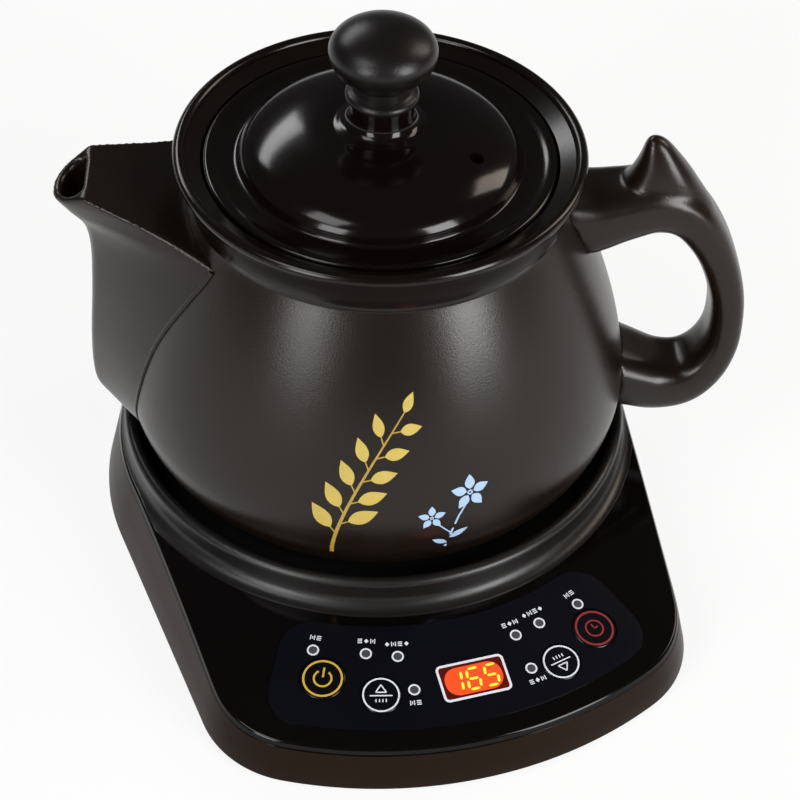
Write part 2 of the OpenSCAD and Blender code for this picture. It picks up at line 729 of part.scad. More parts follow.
// ---- bottom cover: a tray that closes the skirt, with posts and standoffs
tray_g = skirt_flare * (deck_z + 2 - floor_top_z) / (deck_z + 2 - floor_z) - case_t - fit_gap;
post_hole_r = 1.8;
foot_spots = [[-74, -112], [74, -112], [-72, 60], [72, 60]];
shield_posts = [[-43, -25], [43, -25], [0, 50]];
rubber_r = 8;
vent_count = 7;
vent_pitch = 9;
vent_w = 4;
vent_l = 44;
standoff_r = 3;
module bottom_cover() {
    color([0.1, 0.1, 0.1]) at_axis() difference() {
        union() {
            translate([0, 0, floor_z]) linear_extrude(case_t) plan(tray_g);
            for (p = case_spots)
                translate([p[0], p[1], floor_z]) cylinder(r = boss_r, h = boss_low - floor_z);
            for (p = shield_posts)
                translate([p[0], p[1], floor_z]) cylinder(r = boss_r, h = shield_z - floor_z);
            for (p = power_spots)
                translate([p[0], p[1], floor_z]) cylinder(r = standoff_r, h = power_z - floor_z);
            difference() {
                for (p = board_spots) translate(concat(polar(p[0], p[1]), [floor_z]))
                    cylinder(r = standoff_r, h = deck_z);
                board_plane(-board_t) cube(big);
            }
        }
        for (p = case_spots) translate([p[0], p[1], -1]) cylinder(r = post_hole_r, h = big, $fn = 32);
        for (p = power_spots)
            translate([p[0], p[1], power_z - 3]) cylinder(r = board_screw_r, h = 4, $fn = 24);
        for (p = board_spots) on_board(p) translate([0, 0, -board_t - 3])
            cylinder(r = board_screw_r, h = 4, $fn = 24);
        for (p = foot_spots) translate([p[0], p[1], floor_z - 1]) cylinder(r = rubber_r / 2, h = 2 * case_t);
        for (i = [0 : vent_count - 1])
            translate([(i - (vent_count - 1) / 2) * vent_pitch - vent_w / 2, -vent_l / 2 - 4, 0])
                cube([vent_w, vent_l, big]);
    }
}
module case_screws() {
    head = 1.6;
    color([0.6, 0.6, 0.62]) at_axis() for (p = case_spots) translate([p[0], p[1], floor_z - head]) {
        cylinder(r = 2.8, h = head);
        cylinder(r = pilot_r, h = boss_low - floor_z + head + 5, $fn = 32);
    }
}
module rubber_feet() {
    color([0.06, 0.06, 0.06]) at_axis() for (p = foot_spots) translate([p[0], p[1], 0]) {
        cylinder(r = rubber_r, h = foot_gap);
        translate([0, 0, foot_gap]) cylinder(r = rubber_r / 2 - 0.1, h = case_t);
    }
}

// ================= heater =================

tube_z = plate_z;
tube_gap_angle = 44;
module tube_form(r) {
    translate([0, 0, tube_z]) rotate([0, 0, 90 + tube_gap_angle / 2])
        rotate_extrude(angle = 360 - tube_gap_angle, $fn = round_fn)
            translate([tube_ring_r, 0])
            circle(r = r, $fn = 32);
}
hub_r = sensor_r + slide_gap;
plate_screw_spots = [for (a = [0 : 120 : 240]) (plate_r - 8) * [sin(a), -cos(a)]];
module heating_plate() {
    flange_t = ring_floor_z - plate_z;
    color([0.16, 0.16, 0.165]) at_axis() difference() {
        union() {
            translate([0, 0, plate_z]) cylinder(r = plate_r, h = plate_t, $fn = round_fn);
            translate([0, 0, plate_z]) cylinder(r = plate_r + 4, h = flange_t, $fn = round_fn);
        }
        translate([0, 0, plate_z - 1]) cylinder(r = hub_r, h = plate_t + 2);
        tube_form(tube_r);
        for (p = plate_screw_spots)
            translate([p[0], p[1], plate_z - 1]) cylinder(r = screw_r, h = 5, $fn = 32);
        ear_spots() translate([0, 0, plate_z - 1]) cylinder(r = screw_r, h = 5, $fn = 32);
    }
}
module heating_tube() {
    color([0.62, 0.6, 0.58]) at_axis() {
        tube_form(tube_r);
        tube_ends()
            translate([0, 0, shield_z - 2])
            cylinder(r = tube_r - 0.5, h = tube_z - shield_z + 2, $fn = 32);
    }
}
seal_w = 1.5;
module plate_seal() {
    color([0.55, 0.2, 0.15]) at_axis() translate([0, 0, ring_floor_z]) difference() {
        cylinder(r = plate_r + seal_w, h = ring_floor_t + 0.8, $fn = round_fn);
        translate([0, 0, -1]) cylinder(r = plate_r, h = ring_floor_t + 3, $fn = round_fn);
    }
}
module tube_ends() {
    for (s = [-1, 1]) rotate([0, 0, s * tube_gap_angle / 2 + 90]) translate([tube_ring_r, 0, 0]) children();
}
module heat_shield() {
    color([0.7, 0.7, 0.7]) at_axis() difference() {
        translate([0, 0, shield_z]) cylinder(r = plate_r, h = plate_z - shield_z, $fn = round_fn);
        translate([0, 0, shield_z + shield_t]) cylinder(r = plate_r - shield_t, h = plate_z, $fn = round_fn);
        translate([0, 0, shield_z - 1]) cylinder(r = bracket_r + fit_gap, h = 4);
        tube_ends() cylinder(r = tube_r + 0.5, h = shield_z + 2, $fn = 32);
        for (p = plate_screw_spots)
            translate([p[0], p[1], shield_z - 1]) cylinder(r = screw_r + 0.1, h = 3, $fn = 32);
    }
}
module plate_screws() {
    color([0.72, 0.72, 0.74]) at_axis() for (p = plate_screw_spots) translate([p[0], p[1], shield_z - 2]) {
        cylinder(r = 2 * screw_r, h = 2);
        cylinder(r = screw_r, h = plate_z - shield_z + 5, $fn = 32);
    }
}

// ---- sensor: a cap on a spring, held up against the pot in the middle of the plate
cap_top = pot_z + dimple_h - touch_gap;
cap_rim = 1.6;
cap_rim_z = plate_z - fit_gap - cap_rim;
bracket_r = sensor_r + 4.5;
bracket_z = floor_top_z + sensor_travel + 0.6;
bracket_t = 1.2;
guide_r = 3;
ear_reach = bracket_r + 5;
module ear_spots() {
    for (s = [-1, 1]) translate([s * ear_reach, 0, 0]) children();
}
module bracket_screws() {
    color([0.72, 0.72, 0.74]) at_axis() ear_spots() translate([0, 0, plate_z - bracket_t - 1.8]) {
        cylinder(r = 2 * screw_r, h = 1.8);
        cylinder(r = screw_r, h = bracket_t + 1.8 + 3.5, $fn = 32);
    }
}
module sensor_cap() {
    color([0.78, 0.78, 0.76]) at_axis() {
        translate([0, 0, cap_rim_z]) cylinder(r = sensor_r, h = cap_top - cap_rim_z);
        translate([0, 0, cap_rim_z]) cylinder(r = sensor_r + 1.5, h = cap_rim);
        translate([0, 0, bracket_z]) cylinder(r = guide_r, h = cap_rim_z - bracket_z);
    }
}
module sensor_bracket() {
    color([0.7, 0.7, 0.68]) at_axis() difference() {
        union() {
            translate([0, 0, bracket_z]) cylinder(r = bracket_r, h = plate_z - bracket_z);
            translate([-ear_reach - 4, -4, plate_z - bracket_t]) cube([2 * ear_reach + 8, 8, bracket_t]);
        }
        translate([0, 0, bracket_z + bracket_t]) cylinder(r = bracket_r - bracket_t, h = big);
        translate([0, 0, bracket_z - 1]) cylinder(r = guide_r + slide_gap, h = bracket_t + 2);
        ear_spots() translate([0, 0, plate_z - 5]) cylinder(r = screw_r, h = 6, $fn = 32);
    }
}
wire_r = 0.6;
coil_r = sensor_r - 2.5;
spring_low = bracket_z + bracket_t;
spring_high = cap_rim_z;
coil_sides = 6;
coil_steps = 24;
function coil_ring(k) =
    let (n = spring_turns * coil_steps, a = 360 * k / coil_steps,
         z = spring_low + wire_r + (spring_high - spring_low - 2 * wire_r) * k / n)
    [for (j = [0 : coil_sides - 1]) let (q = 360 * j / coil_sides, rr = coil_r + wire_r * cos(q))
        [rr * cos(a), rr * sin(a), z - wire_r * sin(q)]];
module sensor_spring() {
    color([0.8, 0.8, 0.82]) at_axis() skin([for (k = [0 : spring_turns * coil_steps]) coil_ring(k)]);
}

// ---- mains side
fuse_r = 2;
module thermal_fuse() {
    color([0.85, 0.8, 0.7]) at_axis() translate([-24, 30, shield_z - fuse_r]) rotate([0, 90, 0]) {
        cylinder(r = fuse_r, h = 12);
        translate([0, 0, -6]) cylinder(r = 0.6, h = 24, $fn = 24);
    }
}
module tube_terminals() {
    color([0.8, 0.72, 0.4]) at_axis() tube_ends() translate([-2.5, -0.5, shield_z - 7]) cube([5, 1, 5]);
}

power_w = 50;
power_d = 27;
power_z = floor_top_z + 2.5;
power_c = [-38, 61];
power_spots = [for (sx = [-1, 1]) for (sy = [-1, 1])
    power_c + [sx * (power_w / 2 - 3.5), sy * (power_d / 2 - 3.5)]];
module power_board() {
    color([0.12, 0.38, 0.2]) at_axis() difference() {
        translate([power_c[0] - power_w / 2, power_c[1] - power_d / 2, power_z])
            cube([power_w, power_d, board_t]);
        for (p = power_spots)
            translate([p[0], p[1], power_z - 1]) cylinder(r = board_screw_r + 0.2, h = 4, $fn = 24);
    }
}
part_z = power_z + board_t;
part_h = shield_z - part_z - 0.8;
module power_relay() {
    color([0.1, 0.25, 0.6]) at_axis() translate([power_c[0] - 16, power_c[1] - 12, part_z])
        cube([18, 14, part_h]);
}
module filter_capacitor() {
    color([0.75, 0.6, 0.15]) at_axis() translate([power_c[0] + 5, power_c[1] - 12, part_z])
        cube([12, 6, part_h]);
}
module supply_capacitor() {
    color([0.1, 0.1, 0.12]) at_axis() translate([power_c[0] + 9, power_c[1] + 3, part_z])
        cylinder(r = 4, h = part_h, $fn = 48);
}

module power_inlet() {
    socket_w = 24.5;
    socket_h = 16.5;
    depth = inlet_depth;
    color([0.05, 0.05, 0.05]) at_axis() difference() {
        union() {
            translate([-inlet_w / 2, inlet_y - depth, inlet_z - inlet_h / 2]) cube([inlet_w, depth, inlet_h]);
            translate([-inlet_w / 2 - inlet_flange, inlet_y - 3, inlet_z - inlet_h / 2])
                cube([inlet_w + 2 * inlet_flange, 3, inlet_h]);
        }
        translate([-socket_w / 2, inlet_y - depth + 3, inlet_z - socket_h / 2])
            cube([socket_w, depth, socket_h]);
        pin_forms();
    }
}
pin_spots = [[-7, -2], [7, -2], [0, 2]];
module pin_forms() {
    for (p = pin_spots)
        translate([p[0] - 1, inlet_y - inlet_depth - 4, inlet_z + p[1] - 2]) cube([2, inlet_depth, 4]);
}
module inlet_pins() {
    color([0.8, 0.75, 0.55]) at_axis() pin_forms();
}

pot_body();
pot_spout();
pot_handle();
lid_dome();
lid_knob();
knob_washer();
knob_screw();
housing_skirt();
top_cover();
bottom_cover();
case_screws();
rubber_feet();
guard_ring();
panel_film();
key_power();
key_timer();
key_up();
key_down();
tact_switches();
control_board();
board_screws();
display_module();
display_window();
indicator_lamps();
heating_plate();
heating_tube();
tube_terminals();
plate_seal();
heat_shield();
plate_screws();
sensor_cap();
sensor_bracket();
bracket_screws();
sensor_spring();
thermal_fuse();
power_board();
power_relay();
filter_capacitor();
supply_capacitor();
power_inlet();
inlet_pins();
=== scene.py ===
import math

import bmesh
import bpy
import numpy as np
from mathutils import Matrix, Vector


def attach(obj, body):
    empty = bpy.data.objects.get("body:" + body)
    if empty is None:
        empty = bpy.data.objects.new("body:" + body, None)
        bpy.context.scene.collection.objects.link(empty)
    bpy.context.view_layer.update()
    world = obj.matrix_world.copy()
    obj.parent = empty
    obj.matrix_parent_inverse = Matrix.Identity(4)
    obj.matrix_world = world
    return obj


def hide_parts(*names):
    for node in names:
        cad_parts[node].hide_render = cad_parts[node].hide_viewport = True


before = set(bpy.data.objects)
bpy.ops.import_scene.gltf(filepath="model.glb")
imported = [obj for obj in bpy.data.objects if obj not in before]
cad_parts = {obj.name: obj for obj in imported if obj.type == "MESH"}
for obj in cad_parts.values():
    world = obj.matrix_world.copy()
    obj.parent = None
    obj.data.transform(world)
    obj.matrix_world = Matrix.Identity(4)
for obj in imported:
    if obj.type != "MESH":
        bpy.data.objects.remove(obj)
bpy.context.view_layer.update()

# ---- sizes in millimetres and degrees, mostly those of the part's source
# pot: belly, neck and collar, with a seat for the lid
BELLY_R, BELLY_H, BELLY_DROP, BELLY_BEND = 94, 30, 55, 1.57
NECK_R, NECK_H, COLLAR_H, FLARE = 67, 111, 19, 5.5
WALL, FLOOR, FOOT_R, DIMPLE, DIMPLE_R = 5.5, 7, 72, 3.2, 15
SEAT_DROP, SEAT_W, POT_TURN = 9, 6, -13
RIM_H, RIM_R, LIP_R = NECK_H + COLLAR_H, NECK_R + FLARE, 2.2
SEAT_H = RIM_H - SEAT_DROP
STRAINER_R, STRAINER_PITCH, STRAINER_H = 3, 9, 82
# spout
KEEL = BELLY_R + 11
SPOUT_REACH = KEEL + 13
SPOUT_TOP, MOUTH_W, ROOT_W, SPOUT_WALL, ROOF_FALL, ROOT_SINK = 118, 14, 40, 4.5, 15, 1.5
MOUTH_BACK, MOUTH_FALL, MOUTH_LIP, CHANNEL_H = KEEL - 2, 30, 2.4, 46
SEAM_LOW, SEAM_HIGH, SEAM_R, SEAM_SWELL = 24, 105, 0.35, 0.75
# handle
GRIP, GRIP_T, GRIP_W, ARM_H, THUMB_RISE = 131.5, 6.5, 10.5, 106, 27
# lid and knob
LID_R, LID_T, DOME_R, DOME_H, DOME_WALL = 62, 4.5, 49.5, 14, 4
PEDESTAL_H, PEDESTAL_R, KNOB_R, KNOB_H, BEAD_R = 10, 11.2, 18.5, 21, 1.8
STEAM_R, STEAM_REACH, STEAM_TURN = 2.6, 36, -27
BORE_R = LID_R - SEAT_W + 2
# base: plan, deck, ring and film
BACK_R, FRONT_ARC, FRONT_SPAN, CORNER_R, SKIRT_FLARE = 99, 117.5, 26, 33, 7
DECK_Z, DECK_FALL, CASE_T, FOOT_GAP, EDGE = 30, 10.4, 2.4, 2.5, 1.5
RING_R, RING_H, RING_T, COVE_R, PLATE_R = 97, 11.5, 5, 5, 70
# the inlet's opening in the skirt: its middle's height, its size, and the cut's reach from the axis
INLET_Z, INLET_H, INLET_W, INLET_FROM, INLET_TO = 16.0, 20.4, 33.6, 65, 125
FILM_T, FILM_IN, FILM_L = 0.5, 106, 40
FILM_OUT = FILM_IN + FILM_L
POT_Z = DECK_Z + 3.02
LID_Z = POT_Z + SEAT_H
SLOPE = math.tan(math.radians(DECK_FALL))
# keys, lamps and window: reach from the axis, angle from the front, and a key's radius
KEY_AT, ARROW_AT, LAMP_AT, LONE_AT = FILM_OUT - 17.5, FILM_OUT - 12.5, FILM_IN + 12, FILM_OUT - 14
KEYS = {"key_power": (KEY_AT - 1, -22.5, 8), "key_timer": (KEY_AT + 1, 23.5, 8),
        "key_up": (ARROW_AT - 1, -13.3, 7.1), "key_down": (ARROW_AT + 1, 15.3, 7.1)}
LAMPS = [(LAMP_AT - 0.7, -25), (LAMP_AT - 1.2, -15.8), (LAMP_AT, -10.3), (LONE_AT - 0.8, -8.2),
         (LAMP_AT + 0.8, 10.9), (LAMP_AT, 15.9), (LAMP_AT + 0.7, 24.2), (LONE_AT + 0.6, 10.5)]
KEY_GAP, LAMP_HOLE_R = 0.35, 1.42
WINDOW_X, WINDOW_AT, WINDOW_W, WINDOW_H = 3, FILM_OUT - 16, 23.5, 13
WINDOW = (math.hypot(WINDOW_X, WINDOW_AT), math.degrees(math.atan2(WINDOW_X, WINDOW_AT)))
# the pot's axis in the frame: the object's middle is the origin
AXIS = np.array([(SPOUT_REACH - GRIP - GRIP_T) * math.cos(math.radians(POT_TURN)) / 2,
                 (FRONT_ARC + CORNER_R - BACK_R) / 2, 0.0])
# how far a form reaches into the pot's wall, and how finely round forms are divided
INTO_WALL = 0.8
POT_PARTS, KNOB_PARTS, SECTORS = 240, 160, 540


# ---- mesh helpers
def turn_z(points, degrees):
    a = math.radians(degrees)
    p = np.array(points, float).reshape(-1, 3)
    c, s = math.cos(a), math.sin(a)
    return np.stack([p[:, 0] * c - p[:, 1] * s, p[:, 0] * s + p[:, 1] * c, p[:, 2]], 1)


def arc(centre, r, a0, a1, n):
    turns = [math.radians(a0 + (a1 - a0) * i / n) for i in range(n + 1)]
    return [(centre[0] + r * math.cos(a), centre[1] + r * math.sin(a)) for a in turns]


def circle(r, n, centre=(0, 0)):
    turns = [2 * math.pi * k / n for k in range(n)]
    return [(centre[0] + r * math.cos(a), centre[1] + r * math.sin(a)) for a in turns]


def revolve(profile, segments):
    """A closed skin of revolution from an outline of (radius, height) points."""
    verts, faces, rings = [], [], []
    for r, z in profile:
        if r < 1e-6:
            rings.append([len(verts)] * segments)
            verts.append((0, 0, z))
        else:
            rings.append(list(range(len(verts), len(verts) + segments)))
            verts += [(x, y, z) for x, y in circle(r, segments)]
    for i in range(len(rings)):
        a, b = rings[i], rings[(i + 1) % len(rings)]
        if a[0] == a[1] and b[0] == b[1]:
            continue
        for k in range(segments):
            j = (k + 1) % segments
            faces.append(list(dict.fromkeys((a[k], a[j], b[j], b[k]))))
    return verts, faces


def loft(rings):
    """A skin over rings of as many points each, closed by its first and last ring."""
    n, m = len(rings[0]), len(rings)
    verts = [tuple(p) for ring in rings for p in ring]
    faces = [(k * n + i, k * n + (i + 1) % n, (k + 1) * n + (i + 1) % n, (k + 1) * n + i)
             for k in range(m - 1) for i in range(n)]
    return verts, faces + [tuple(range(n)), tuple((m - 1) * n + i for i in range(n))]


def closed(rings):
    """A skin over rings whose last one joins the first again."""
    n, m = len(rings[0]), len(rings)
    verts = [p for ring in rings for p in ring]
    faces = [(k * n + i, k * n + (i + 1) % n, ((k + 1) % m) * n + (i + 1) % n, ((k + 1) % m) * n + i)
             for k in range(m) for i in range(n)]
    return verts, faces


def catmull(rows, t):
    """A smooth curve through rows of numbers; t counts the rows."""
    def row(i):
        return np.array(rows[max(0, min(len(rows) - 1, i))], float)
    i = int(math.floor(t))
    u = t - i
    a, b, c, d = row(i - 1), row(i), row(i + 1), row(i + 2)
    return 0.5 * (2 * b + (c - a) * u + (2 * a - 5 * b + 4 * c - d) * u * u
                  + (3 * b - a - 3 * c + d) * u ** 3)


def new_object(name, points, faces):
    """An object from points in millimetres about the pot's axis."""
    mesh = bpy.data.meshes.new(name)
    mesh.from_pydata(((points + AXIS) / 1000).tolist(), [], [tuple(f) for f in faces])
    obj = bpy.data.objects.new(name, mesh)
    bpy.context.scene.collection.objects.link(obj)
    return obj


def raw(name, verts, faces, turned=False):
    """The same, turned with the pot if asked, with doubled points joined and its faces turned outward."""
    points = turn_z(verts, POT_TURN) if turned else np.array(verts, float).reshape(-1, 3)
    obj = new_object(name, points, faces)
    bm = bmesh.new()
    bm.from_mesh(obj.data)
    bmesh.ops.remove_doubles(bm, verts=bm.verts, dist=1e-7)
    bmesh.ops.recalc_face_normals(bm, faces=bm.faces)
    bm.to_mesh(obj.data)
    bm.free()
    return obj


def applied(obj):
    """Puts the result of obj's modifiers in its mesh."""
    bpy.context.view_layer.update()
    result = bpy.data.meshes.new_from_object(obj.evaluated_get(bpy.context.evaluated_depsgraph_get()))
    obj.modifiers.clear()
    old = obj.data
    obj.data = result
    bpy.data.meshes.remove(old)
    return obj


def boolean(obj, cutters, operation="DIFFERENCE"):
    for cutter in cutters:
        m = obj.modifiers.new("cut", "BOOLEAN")
        m.operation, m.solver, m.object = operation, "EXACT", cutter
    applied(obj)
    for cutter in cutters:
        bpy.data.objects.remove(cutter)
    return obj


def soften(obj, size, rounds):
    """Rounds a cut form's edges as a glaze does: an even skin, smoothed a few times."""
    skin = obj.modifiers.new("skin", "REMESH")
    skin.mode, skin.voxel_size = "VOXEL", size / 1000
    smooth = obj.modifiers.new("smooth", "SMOOTH")
    smooth.factor, smooth.iterations = 0.5, rounds
    return applied(obj)


def dress(obj, finish, body, replaces=(), angle=38):
    """Gives a piece its finish and its body, and hides the CAD nodes that it stands for."""
    obj.data.materials.clear()
    obj.data.materials.append(finish)
    obj.data.polygons.foreach_set("use_smooth", [True] * len(obj.data.polygons))
    obj.data.set_sharp_from_angle(angle=math.radians(angle))
    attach(obj, body)
    if replaces:
        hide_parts(*replaces)
    return obj


def hoop(p, u, v, r, n):
    """A circle about p in the plane of u and v."""
    turns = [2 * math.pi * k / n for k in range(n)]
    return [p + r * (math.cos(a) * u + math.sin(a) * v) for a in turns]


# ---- materials
def noise(nodes, links, vector, scale, detail):
    node = nodes.new("ShaderNodeTexNoise")
    node.inputs["Scale"].default_value = scale
    node.inputs["Detail"].default_value = detail
    links.new(vector, node.inputs["Vector"])
    return node.outputs["Fac"]


def material(name, color, rough, metallic=0.0, grain=(900, 0.02), shade=(30, 0.12), rough_var=0.05,
             level=0.5, emission=None):
    """A finish with small changes of colour and roughness (shade) and a fine grain in its bump."""
    mat = bpy.data.materials.new(name)
    mat.use_nodes = True
    nodes, links = mat.node_tree.nodes, mat.node_tree.links
    shader = nodes["Principled BSDF"]
    where = nodes.new("ShaderNodeTexCoord").outputs["Object"]
    wide = noise(nodes, links, where, shade[0], 4)
    ramp = nodes.new("ShaderNodeMix")
    ramp.data_type = "RGBA"
    ramp.inputs[6].default_value = (*[c * (1 - shade[1]) for c in color], 1)
    ramp.inputs[7].default_value = (*[min(1, c * (1 + shade[1])) for c in color], 1)
    links.new(wide, ramp.inputs[0])
    links.new(ramp.outputs[2], shader.inputs["Base Color"])
    spread = nodes.new("ShaderNodeMapRange")
    spread.inputs["From Min"].default_value = 0.3
    spread.inputs["From Max"].default_value = 0.7
    spread.inputs["To Min"].default_value = max(0.02, rough - rough_var)
    spread.inputs["To Max"].default_value = rough + rough_var
    links.new(wide, spread.inputs["Value"])
    links.new(spread.outputs["Result"], shader.inputs["Roughness"])
    fine = noise(nodes, links, where, grain[0], 3)
    bump = nodes.new("ShaderNodeBump")
    bump.inputs["Strength"].default_value = grain[1]
    bump.inputs["Distance"].default_value = 0.0005
    links.new(fine, bump.inputs["Height"])
    links.new(bump.outputs["Normal"], shader.inputs["Normal"])
    shader.inputs["Metallic"].default_value = metallic
    shader.inputs["Specular IOR Level"].default_value = level
    if emission:
        shader.inputs["Emission Color"].default_value = (*emission[0], 1)
        shader.inputs["Emission Strength"].default_value = emission[1]
    return mat


def metal(name, color, rough, grain):
    return material(name, color, rough, 1.0, grain=grain)


def ink(name, color, rough, bump, change):
    """A print's finish: a fine even grain, and as much change of colour as given."""
    return material(name, color, rough, grain=(1500, bump), shade=(200, change))


# near-black glaze; its brown tint is painted reflection of a warm surrounding, seen where no highlight falls
glaze = material("pot_glaze", (0.0068, 0.0039, 0.0022), 0.28, grain=(1400, 0.10), shade=(14, 0.15),
                 rough_var=0.03, level=0.32)
gloss_glaze = material("pot_gloss_glaze", (0.0034, 0.0020, 0.0014), 0.18, grain=(500, 0.03), shade=(14, 0.15),
                       rough_var=0.03, level=0.26)
lid_glaze = material("lid_glaze", (0.0030, 0.0018, 0.0016), 0.13, grain=(500, 0.03), shade=(12, 0.2),
                     rough_var=0.02, level=0.25)
knob_mat = material("knob_plastic", (0.0045, 0.0034, 0.0032), 0.33, grain=(1600, 0.14), rough_var=0.04,
                    level=0.28)
ring_mat = material("ring_plastic", (0.0065, 0.0058, 0.0055), 0.33, grain=(1500, 0.15), rough_var=0.04,
                    level=0.35)
# dark plastic; its brown tint is painted reflection of a warm surrounding, and its own specular is kept low
skirt_painted_reflection_mat = material("skirt_plastic", (0.0105, 0.0050, 0.0024), 0.34, grain=(1500, 0.18), shade=(10, 0.2),
                     level=0.06)
cover_mat = material("cover_plastic", (0.0018, 0.0012, 0.0011), 0.10, grain=(300, 0.01), rough_var=0.02,
                     level=0.2)
film_mat = material("film", (0.0018, 0.0020, 0.0038), 0.25, grain=(1800, 0.05), rough_var=0.03, level=0.2)
under_mat = material("under_plastic", (0.03, 0.03, 0.03), 0.55, grain=(1200, 0.4))
rubber_mat = material("foot_rubber", (0.022, 0.022, 0.022), 0.8, grain=(1500, 0.5))
steel_mat = metal("screw_steel", (0.55, 0.55, 0.57), 0.3, (2500, 0.1))
brass_mat = metal("brass", (0.65, 0.48, 0.2), 0.28, (2500, 0.1))
shield_mat = metal("shield_metal", (0.66, 0.66, 0.66), 0.36, (1800, 0.15))
plate_mat = material("plate_metal", (0.045, 0.045, 0.047), 0.5, 0.6, grain=(1600, 0.5), shade=(40, 0.3))
tube_mat = metal("tube_steel", (0.42, 0.40, 0.37), 0.4, (1500, 0.2))
sensor_mat = metal("sensor_metal", (0.72, 0.72, 0.71), 0.3, (2200, 0.1))
silicone_mat = material("silicone", (0.3, 0.07, 0.045), 0.5, grain=(1200, 0.2))
board_mat = material("board", (0.015, 0.11, 0.045), 0.35, grain=(700, 0.2), shade=(120, 0.25))
part_mat = material("part_plastic", (0.02, 0.02, 0.022), 0.45, grain=(1400, 0.2))
fuse_mat = material("fuse_ceramic", (0.6, 0.55, 0.44), 0.6, grain=(1200, 0.2))
relay_mat = material("relay_plastic", (0.02, 0.08, 0.32), 0.35, grain=(900, 0.05))
cap_mat = material("cap_yellow", (0.6, 0.38, 0.04), 0.35, grain=(900, 0.05))
lamp_mat = material("lamp", (0.05, 0.05, 0.055), 0.25, grain=(900, 0.05))
window_mat = material("window", (0.05, 0.002, 0.001), 0.12, grain=(400, 0.01), shade=(60, 0.3),
                      emission=((1.0, 0.06, 0.01), 0.035))
gold_print = ink("gold_print", (0.30, 0.20, 0.028), 0.42, 0.2, 0.12)
leaf_print = ink("gold_leaf_print", (0.40, 0.30, 0.060), 0.42, 0.2, 0.12)
blue_print = ink("blue_print", (0.28, 0.40, 0.56), 0.45, 0.2, 0.08)
white_print = ink("white_print", (0.62, 0.64, 0.70), 0.45, 0.15, 0.05)
red_print = ink("red_print", (0.22, 0.012, 0.014), 0.45, 0.15, 0.08)
key_gold_print = ink("key_gold_print", (0.52, 0.33, 0.03), 0.45, 0.15, 0.08)
digit_mat = material("digit_light", (0.9, 0.35, 0.04), 0.4, shade=(300, 0.1),
                     emission=((1.0, 0.30, 0.012), 2.2))
glow_mat = material("digit_glow", (0.5, 0.05, 0.01), 0.4, shade=(300, 0.2),
                    emission=((1.0, 0.055, 0.004), 0.5))


# ---- pot
def belly_at(h):
    if h < BELLY_H:
        return BELLY_R * math.sqrt(1 - ((h - BELLY_H) / BELLY_DROP) ** 2)
    return BELLY_R - (BELLY_R - NECK_R) * ((h - BELLY_H) / (NECK_H - BELLY_H)) ** BELLY_BEND


def up(points, z):
    return [(r, h + z) for r, h in points]


def collar_point(t, gap):
    """A place on the collar's outside, from the crease (t = 0) to under the lip, drawn in a little."""
    reach = NECK_R + (RIM_R - 1.3 - NECK_R) * t - 0.6 * math.sin(math.pi * t)
    return (reach + gap, NECK_H + 1.2 + (RIM_H - 6.6 - NECK_H) * t)


LIP = (RIM_R - LIP_R, RIM_H - LIP_R)


def outer_line(gap=0.0):
    foot = [(FOOT_R, 0)] + arc((FOOT_R + 1.2, 2.2), 2.2, 280, 325, 4)
    belly = [(belly_at(h) + gap, h) for h in np.linspace(3.5, NECK_H - 1.0, 72)]
    crease = [(x + gap, y) for x, y in arc((NECK_R + 0.9, NECK_H + 0.3), 0.9, 215, 150, 4)]
    collar = [collar_point(t, gap) for t in np.linspace(0.02, 0.93, 10)]
    return foot + belly + crease + collar + arc(LIP, LIP_R, -20, 90, 10)


def pot_outside(gap):
    line = [(0, 0)] + outer_line(gap) + [(0, RIM_H)]
    return raw("pot_outside", *revolve(up(line, POT_Z), POT_PARTS), turned=True)


def inner_line():
    """From the lip over the lid's seat and down the inside of the belly to the middle of the floor."""
    seat_r = LID_R + 0.6
    seat = [(seat_r + 0.3, RIM_H - 4.5), (seat_r, SEAT_H + 1.2)]
    seat += arc((seat_r - 0.8, SEAT_H + 0.8), 0.8, 0, -90, 3)
    bore = [(BORE_R + 0.6, SEAT_H), (BORE_R, SEAT_H - 0.8), (BORE_R, NECK_H + 1)]
    belly = [(belly_at(h) - WALL, h) for h in np.linspace(NECK_H - 12, FLOOR + 9, 48)]
    bottom = [(belly_at(FLOOR) - WALL - 4, FLOOR + 3), (FOOT_R - 2, FLOOR), (DIMPLE_R + 1, FLOOR), (0, FLOOR)]
    return arc(LIP, LIP_R, 100, 175, 6) + seat + bore + belly + bottom


def rod(name, a, b, r, n=24):
    """A cylinder from a to b."""
    a, b = np.array(a, float), np.array(b, float)
    d = (b - a) / np.linalg.norm(b - a)
    u = np.cross(d, [0, 0, 1.0] if abs(d[2]) < 0.9 else [1.0, 0, 0])
    u /= np.linalg.norm(u)
    v = np.cross(d, u)
    return raw(name, *loft([hoop(p, u, v, r, n) for p in (a, b)]), turned=True)


def strainer_hole(i, k):
    y, z = STRAINER_PITCH * i, POT_Z + STRAINER_H + STRAINER_PITCH * k
    return rod("hole", (-40, y, z), (-100, y, z), STRAINER_R)


dimple = [(0, DIMPLE), (DIMPLE_R - 0.6, DIMPLE), (DIMPLE_R, DIMPLE - 0.6)]
dimple += [(DIMPLE_R, 0.3), (DIMPLE_R + 0.3, 0)]
pot = raw("pot_shell", *revolve(up(dimple + outer_line() + inner_line(), POT_Z), POT_PARTS), turned=True)
boolean(pot, [strainer_hole(i, k) for i in (-1, 0, 1) for k in (-1, 0, 1)])
dress(pot, glaze, "pot", ("pot_body",))
pot.data.materials.append(gloss_glaze)
for face in pot.data.polygons:
    if face.center.z * 1000 > POT_Z + NECK_H:
        face.material_index = 1

